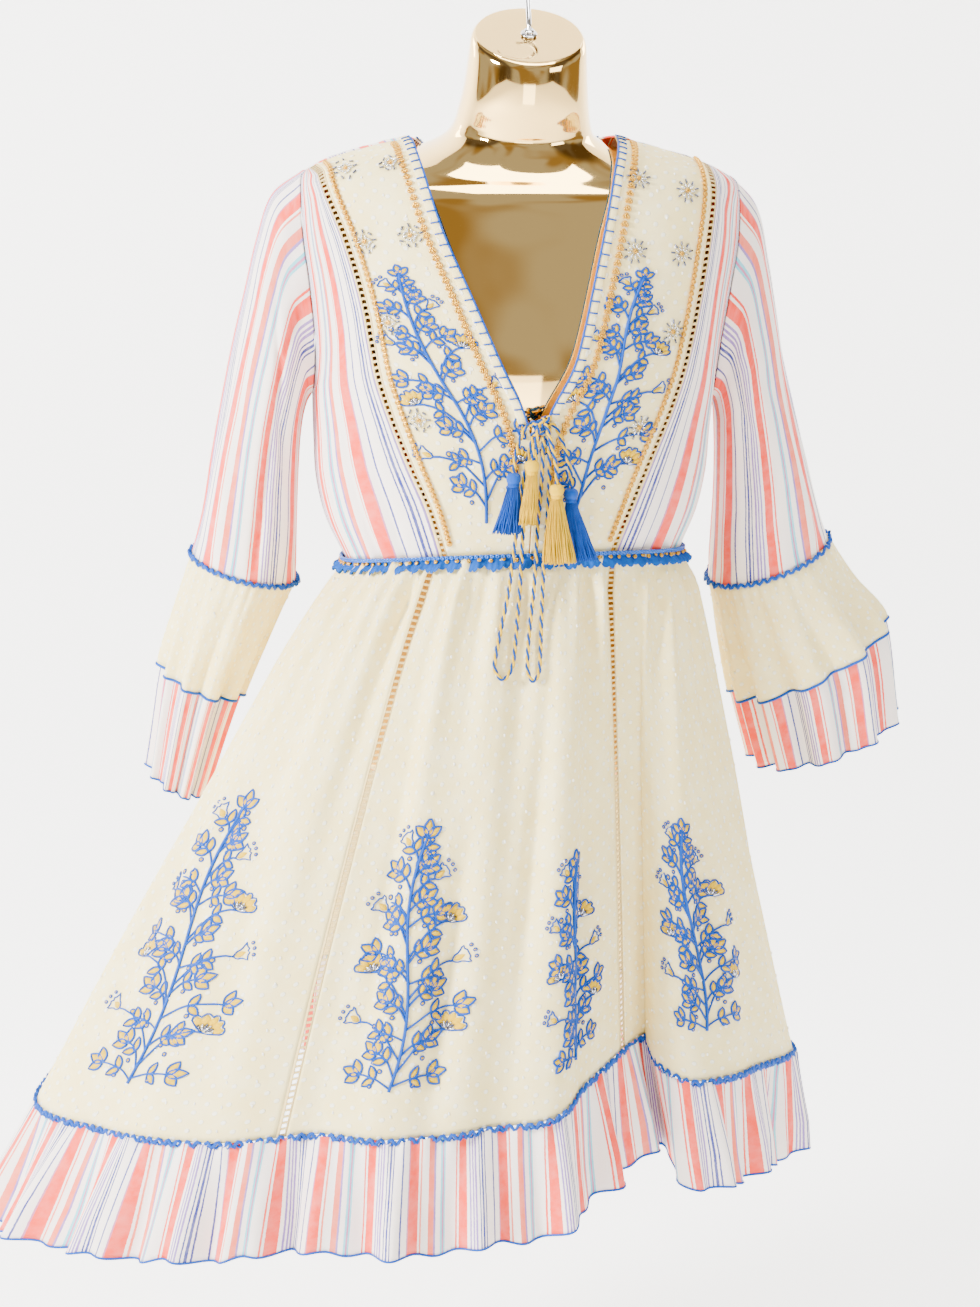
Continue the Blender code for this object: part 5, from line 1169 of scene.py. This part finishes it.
# Beads and sequins of the yokes: a row of gold bead clusters beside the neck binding, a row of
# gold sequins inside the ladder, and sprays of silver bugles round a gold bead.
# Sprays: side, row, column.
SPRAYS = [(-1, 12, 36), (-1, 18, 17), (-1, 46, 39), (-1, 47, 19), (-1, 66, 39), (-1, 84, 38),
          (1, 28, 15), (1, 29, 35), (1, 52, 18), (1, 51, 36), (1, 69, 38), (1, 86, 37)]
sparkle = Pile()
for side in (-1, 1):
    grid, normals = fronts[side], front_normals[side]
    rows = even_rows(grid, 12, 3, len(grid) - 8, 0.0066)
    for turn_part in range(3):
        a = 2 * math.pi * turn_part / 3 + 0.5
        strewn(sparkle, BEAD, grid, normals, rows + 0.42 * math.sin(a), 12.6 + 0.75 * math.cos(a), 0.0004, 0)
    rows = even_rows(grid, 42, 2, len(grid) - 3, 0.0049)
    strewn(sparkle, SEQUIN, grid, normals, rows, 42.0, 0.0006, 0)
    strewn(sparkle, BEAD, grid, normals, rows, 42.0, 0.0012, 0)
for side, row, column in SPRAYS:
    grid, normals = fronts[side], front_normals[side]
    step_row = np.linalg.norm(grid[row + 2, column] - grid[row - 2, column]) / 4
    step_column = np.linalg.norm(grid[row, column + 3] - grid[row, column - 3]) / 6
    strewn(sparkle, BEAD, grid, normals, row, column, 0.0004, 0)
    for ring, count, finish in ((0.0046, 9, 1), (0.0088, 9, 2)):
        a = np.linspace(0, 2 * math.pi, count, endpoint=False) + (0.35 if finish == 2 else 0.0)
        strewn(sparkle, BUGLE, grid, normals, row - ring * np.sin(a) / step_row,
               column + ring * np.cos(a) / step_column, 0.0003, finish, a * -side if False else a)
sparkle.piece("yoke_beads", [gold_bead, silver_bead, gunmetal_bead])

# Waist edging: a strip of blue lace with a picot frill, sewn over the waist seam, with a row of
# blue beads along its top and gold ones between the picots.
EDGING = np.array([(0.0040, 0.0030), (0.0034, -0.0010), (0.0092, -0.0060)])
TRIM_COUNT = 864
turn = np.linspace(-math.pi, math.pi, TRIM_COUNT, endpoint=False)
profile = np.stack([np.interp(np.linspace(0, 2, 9), range(3), EDGING[:, k]) for k in (0, 1)], -1)
rows = []
for number, (outset, rise) in enumerate(profile):
    foot_share = (number / 8) ** 2
    row = waist_ring(turn, outset + foot_share * (0.0024 * np.cos(58 * turn) + 0.0012 * np.cos(91 * turn)))
    row[:, 2] += rise + foot_share * (0.0016 * np.sin(58 * turn) - 0.0026 * np.abs(np.sin(108 * turn)))
    rows.append(row)
edging = np.stack(rows)
edging_normals = grid_normals(edging, True, (0.0, 0.0, -0.52))
blue_lace = thread_finish("blue_lace", (0.0, 0.08, 0.40), 0.35, 0.7)
piece = cloth_piece("waist_trim_lace", edging, np.linspace(0, 0.9, TRIM_COUNT + 1), np.linspace(0, 0.012, 9),
                    blue_lace, True, (0.0, 0.0, -0.52), 0.0009)
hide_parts("waist_trim")
waist_beads = Pile()
strewn(waist_beads, BEAD, edging, edging_normals, 0.8, np.arange(2, TRIM_COUNT - 3, 3.6), 0.0001, 0)
strewn(waist_beads, BEAD, edging, edging_normals, 4.5, np.arange(4, TRIM_COUNT - 3, 8.0), 0.0001, 1)
waist_beads.piece("waist_beads", [blue_bead, gold_bead])

# Corded edges: a wavy picot cord over the cuff and hem seams, and a fine blue cord round the
# lower edge of each flounce, frill and of the ruffle.
def closed_route(ring, step):
    """The closed ring at even steps, with the share of the way round of each point."""
    dense = np.concatenate([ring, ring[:1]])
    along = np.concatenate([[0], np.cumsum(np.linalg.norm(np.diff(dense, axis=0), axis=1))])
    marks = np.linspace(0, along[-1], int(along[-1] / step), endpoint=False)
    return np.stack([np.interp(marks, along, dense[:, k]) for k in range(3)], -1), marks, along[-1]


def picot_edge(pile, ring, centre, radius, wave, pitch):
    """A cord on a closed seam: out by its radius, swinging by wave up and down once a pitch."""
    route, marks, length = closed_route(ring, 0.0018)
    out = route - np.asarray(centre)
    out[:, 2] = 0.0
    out /= np.linalg.norm(out, axis=1, keepdims=True)
    phase = 2 * math.pi * np.round(length / pitch) * marks / length
    route = route + out * (radius * 0.9 + 0.3 * wave * (1 + np.sin(phase * 0.5)))[:, None]
    route[:, 2] += wave * np.cos(phase)
    pile.tube(route, radius, 5, closed=True)


cords = Pile()
picot_edge(cords, skirt[-1] - (0, 0, 0.0006), (-0.05, 0.0, 0.0), 0.0015, 0.0024, 0.0086)
picot_edge(cords, skirt[-1] - (0, 0, 0.0030), (-0.05, 0.0, 0.0), 0.0010, 0.0016, 0.0049)
route, _, _ = closed_route(ruffle[-1], 0.0034)
cords.tube(route, 0.0010, 5, closed=True)
for word in ("left", "right"):
    sleeve, flounce, frill = edges[word]
    centre = flounce[0].mean(axis=0)
    picot_edge(cords, flounce[0], centre, 0.0015, 0.0018, 0.0080)
    for ring, radius in ((flounce[-1], 0.0014), (frill[-1], 0.0010)):
        route, _, _ = closed_route(ring, 0.0018)
        cords.tube(route, radius, 5, closed=True)
cords.piece("corded_edges", [blue_thread])

# Embroidery: ordinary flower sprigs worked in blue stem stitch and yellow satin stitch, with
# fan flowers rayed in silver bugles. Each rises from its base to its tip on one panel.
# A sprig's branches: share up the stem, side, reach, rise and what it ends in, in millimetres.
BRANCHES = [(0.01, -1, 36, 10, "leaves"), (0.02, 1, 38, 8, "leaves"), (0.05, -1, 22, 20, "leaves"),
            (0.14, 1, 24, 12, "leaves"), (0.27, -1, 22, 16, "leaves"), (0.33, 1, 22, 14, "leaves"),
            (0.43, -1, 20, 10, "leaves"), (0.50, 1, 15, 12, "leaves"), (0.61, -1, 16, 10, "leaves"),
            (0.70, 1, 12, 10, "leaves"), (0.83, 1, 10, 10, "leaves"), (0.93, 1, 8, 8, "berries"), (0.07, 1, 46, 34, "fan"),
            (0.12, -1, 50, 30, "bell"), (0.20, -1, 30, 6, "berries"), (0.24, 1, 50, 18, "leaves"),
            (0.29, -1, 47, 36, "fan"), (0.36, 1, 42, 30, "bell"), (0.42, 1, 28, 6, "berries"),
            (0.46, -1, 40, 16, "leaves"), (0.52, 1, 36, 30, "fan"), (0.57, -1, 32, 28, "bell"),
            (0.64, 1, 26, 12, "leaves"), (0.68, -1, 24, 12, "berries"), (0.74, 1, 21, 20, "bell"),
            (0.78, -1, 18, 16, "leaves"), (0.86, 1, 13, 12, "berries"), (0.90, -1, 10, 12, "bell")]
BLUE_NUMBER, YELLOW_NUMBER, SILVER_NUMBER, GUNMETAL_NUMBER = 0, 1, 2, 3


class Sprig:
    """Embroidery in metres right of and up from its base, laid on the cloth between base and tip."""

    def __init__(self, pile, grid, normals, base, tip, mirror=1):
        self.pile, self.grid, self.normals, self.base, self.tip, self.mirror = pile, grid, normals, base, tip, mirror
        line = on_cloth(grid, normals, np.linspace(base[0], tip[0], 60), np.linspace(base[1], tip[1], 60))
        self.height = route_length(line)
        middle = int((base[1] + tip[1]) / 2)
        self.step = np.linalg.norm(grid[:, middle + 5] - grid[:, middle - 5], axis=1) / 10

    def place(self, x, y, lift):
        share = y / self.height
        row = self.base[0] + (self.tip[0] - self.base[0]) * share
        column = self.base[1] + (self.tip[1] - self.base[1]) * share
        step = np.interp(row, np.arange(len(self.grid)), self.step)
        return on_cloth(self.grid, self.normals, row, column + self.mirror * x / step, lift)

    def thread(self, route, radius=0.0010, finish=BLUE_NUMBER, closed=False):
        """A couched thread along a route of (x, y)."""
        route = np.asarray(route, float)
        if closed:
            route = np.concatenate([route, route[:1]])
        flat = evenly(np.column_stack([route, np.zeros(len(route))]), 0.0026)
        self.pile.tube(self.place(flat[:, 0], flat[:, 1], radius * 0.75), radius, 4, finish)

    def satin(self, x, y, angle, length, width, finish=YELLOW_NUMBER, outlined=True):
        """A leaf of half width sin(pi s^0.85), domed by the threads that cross it."""
        s, across = np.linspace(0.02, 0.98, 7)[:, None], np.linspace(-1, 1, 4)[None]
        half = width * np.sin(math.pi * s ** 0.85)
        c, d = math.cos(angle), math.sin(angle)
        along, off = length * s + 0 * across, half * across
        lift = 0.0003 + 0.0013 * (1 - across ** 2) * np.sin(math.pi * s) ** 0.5
        points = self.place(x + c * along - d * off, y + d * along + c * off, lift)
        faces = grid_faces(7, 4)
        if self.mirror > 0:
            faces = faces[:, ::-1]
        self.pile.add(points, faces, finish, np.stack([off * 1.6 + along, along - off * 0.6], -1))
        if outlined:
            edge_off, edge_along = half[:, 0] + 0.0006, length * s[:, 0]
            rim = np.concatenate([np.stack([edge_along, edge_off], -1), [[length * 1.03, 0.0]],
                                  np.stack([edge_along, -edge_off], -1)[::-1], [[0.0, 0.0]]])
            self.thread(np.stack([x + c * rim[:, 0] - d * rim[:, 1], y + d * rim[:, 0] + c * rim[:, 1]], -1),
                        0.0010, closed=True)

    def berry(self, x, y, radius=0.0021):
        a = np.linspace(0, 2 * math.pi, 10, endpoint=False)
        self.pile.tube(self.place(x + radius * np.cos(a), y + radius * np.sin(a), 0.0006), 0.0007, 4, BLUE_NUMBER,
                       closed=True)
        self.satin(x - radius * 0.8, y, 0.0, radius * 1.6, radius * 0.7, YELLOW_NUMBER, False)

    def leaves(self, x, y, angle, size=1.0):
        for turn, length in ((0.0, 0.0150), (0.9, 0.0130), (-0.9, 0.0130)):
            self.satin(x, y, angle + turn, length * size, 0.0036 * size)

    def bell(self, x, y, angle, size=0.0125):
        """A bell flower: a flared outline with a scalloped mouth round a satin throat."""
        rim = [(0, 0), (0.22, 0.26), (0.55, 0.34), (0.95, 0.66), (0.93, 0.36), (1.10, 0.18), (0.98, 0.0),
               (1.10, -0.18), (0.93, -0.36), (0.95, -0.66), (0.55, -0.34), (0.22, -0.26)]
        rim = np.array(rim) * size
        c, d = math.cos(angle), math.sin(angle)
        self.thread(np.stack([x + c * rim[:, 0] - d * rim[:, 1], y + d * rim[:, 0] + c * rim[:, 1]], -1),
                    0.0007, closed=True)
        self.satin(x + c * size * 0.12, y + d * size * 0.12, angle, size * 0.72, size * 0.20, outlined=False)
        for turn in (-0.32, 0.0, 0.32):
            self.berry(x + size * 1.42 * math.cos(angle + turn), y + size * 1.42 * math.sin(angle + turn), 0.0012)

    def fan(self, x, y, angle, size=0.0165):
        """A fan flower: five scallops of radius size, silver and dark rays, and a satin heart."""
        t = np.linspace(-1.25, 1.25, 41)
        reach = size * (0.80 + 0.20 * np.abs(np.cos(t * 2 * math.pi)) ** 0.6)
        rim = np.concatenate([np.stack([reach * np.cos(t), reach * np.sin(t)], -1), [[0.0, 0.0]]])
        c, d = math.cos(angle), math.sin(angle)
        self.thread(np.stack([x + c * rim[:, 0] - d * rim[:, 1], y + d * rim[:, 0] + c * rim[:, 1]], -1),
                    0.0008, closed=True)
        for turn in np.linspace(-0.98, 0.98, 5):
            a = angle + turn
            self.satin(x + 0.38 * size * math.cos(a), y + 0.38 * size * math.sin(a), a, size * 0.56, size * 0.19,
                       outlined=False)
        for number, turn in enumerate(np.linspace(-1.1, 1.1, 6)):
            a = angle + turn
            ends = np.array([0.14, 0.46]) * size
            finish = SILVER_NUMBER if number % 2 == 0 else GUNMETAL_NUMBER
            self.pile.tube(self.place(x + ends * math.cos(a), y + ends * math.sin(a), 0.0012), 0.0009, 6, finish)

    def work(self, width=1.0, size=1.0, first=0.0):
        """The whole sprig: a winding stem, its branches and the berries between them."""
        height = self.height
        def stem(share):
            return 0.010 * width * np.sin(2 * math.pi * (0.85 * share + 0.08)) - 0.005 * width
        shares = np.linspace(0, 1, 13)
        self.thread(np.stack([stem(shares), shares * height], -1), 0.0014)
        for share, side, reach, rise, ending in BRANCHES:
            if share < first:
                continue
            x, y = float(stem(share)), share * height
            dx, dy = side * reach * 0.001 * width, rise * 0.001 * size
            self.thread([(x, y), (x + dx * 0.42, y + dy * 0.72), (x + dx * 0.80, y + dy * 0.98), (x + dx, y + dy)])
            angle = math.atan2(0.5 * abs(dy) + 0.004, dx)
            for turn in (0.9, -0.9):
                self.satin(x + dx * 0.5, y + dy * 0.76, angle + turn, 0.0115 * size, 0.0026 * size)
            end = (x + dx, y + dy, angle)
            if ending == "berries":
                for k in range(4):
                    self.berry(x + dx * (0.45 + 0.22 * k), y + dy + 0.0045 * (1 if k % 2 else -1) * size)
            elif ending == "leaves":
                self.leaves(*end, size)
            elif ending == "bell":
                self.bell(*end, 0.0125 * size)
            else:
                self.fan(x + dx, y + dy, math.radians(90 - side * 22), 0.0165 * size)
            self.berry(x + dx * 0.45 + 0.004 * side, y + dy * 0.45 - 0.003, 0.0017 * size)
        self.leaves(float(stem(1.0)), height, math.radians(90), size)


# Tufts of the dotted cotton: small raised knots in staggered rows on every cream piece.
TUFT_ACROSS, TUFT_DOWN = 0.025, 0.022
TUFT_POINTS, TUFT_FACES = turned([(0.0002, 0.0), (0.0017, 0.0), (0.0011, 0.0008), (0.0002, 0.0009)], 5)
TUFT_SHAPE = (TUFT_POINTS * (0.62, 1.0, 1.0), TUFT_FACES)
tuft_finish, shader, spot = new_finish("tuft_cotton", (1.0, 0.975, 0.90), 0.9, coordinates="Object")
feed(shader, "Base Color", spot.noise(300.0).mixed((0.97, 0.93, 0.80), (1.0, 0.985, 0.93)))


def tufted(pile, grid, normals, first, end, around=0.0):
    """Tufts at even metres down and across the columns first to end, every other row set over by half."""
    middle = (first + end) // 2
    for number, row in enumerate(even_rows(grid, middle, 1, len(grid) - 2, TUFT_DOWN)):
        columns = np.arange(first, end + 1)
        line = on_cloth(grid, normals, row, columns)
        length = np.concatenate([[0], np.cumsum(np.linalg.norm(np.diff(line, axis=0), axis=1))])
        marks = np.arange(TUFT_ACROSS * (0.3 + 0.5 * (number % 2)), length[-1] - 0.004, TUFT_ACROSS)
        if len(marks):
            places = np.interp(marks, length, columns)
            shift = 0.25 * np.sin(37.0 * places + 11.0 * number)
            strewn(pile, TUFT_SHAPE, grid, normals, row + shift, places, 0.0001, 0)


embroidery = Pile()
skirt_cloth = np.concatenate([skirt, skirt[:, :1]], axis=1)
skirt_lift = np.concatenate([skirt_normals, skirt_normals[:, :1]], axis=1)
# Sprigs of the skirt: base row and column, tip row and column, width, size of the flowers.
tufts_pile = Pile()
for first, end in ((1, 71), (79, 179), (187, 281), (283, 419)):
    tufted(tufts_pile, skirt_cloth, skirt_lift, first, end)
for side in (-1, 1):
    tufted(tufts_pile, fronts[side], front_normals[side], 14, 41)
for word in ("left", "right"):
    ring = np.concatenate([edges[word][1], edges[word][1][:, :1]], axis=1)
    tufted(tufts_pile, ring, grid_normals(ring, False, ring.mean(axis=(0, 1))), 1, ring.shape[1] - 2)
tufts_pile.piece("cotton_tufts", [tuft_finish])
for base, tip, width, size in (((77, 45), (36, 46), 1.0, 1.05), ((77, 103), (40, 106), 0.80, 1.0),
                               ((78, 158), (47, 158), 0.66, 0.85), ((76, 226), (44, 224), 0.72, 0.85)):
    Sprig(embroidery, skirt_cloth, skirt_lift, base, tip).work(width, size)
finishes = [blue_thread, yellow_thread, silver_bead, gunmetal_bead]
embroidery.piece("embroidery_skirt", finishes)
embroidery = Pile()
for side, base, tip in ((-1, (100, 24), (56, 26)), (1, (100, 22), (58, 26))):
    Sprig(embroidery, fronts[side], front_normals[side], base, tip, side).work(0.74, 0.80, 0.04)
embroidery.piece("embroidery_yokes", finishes)
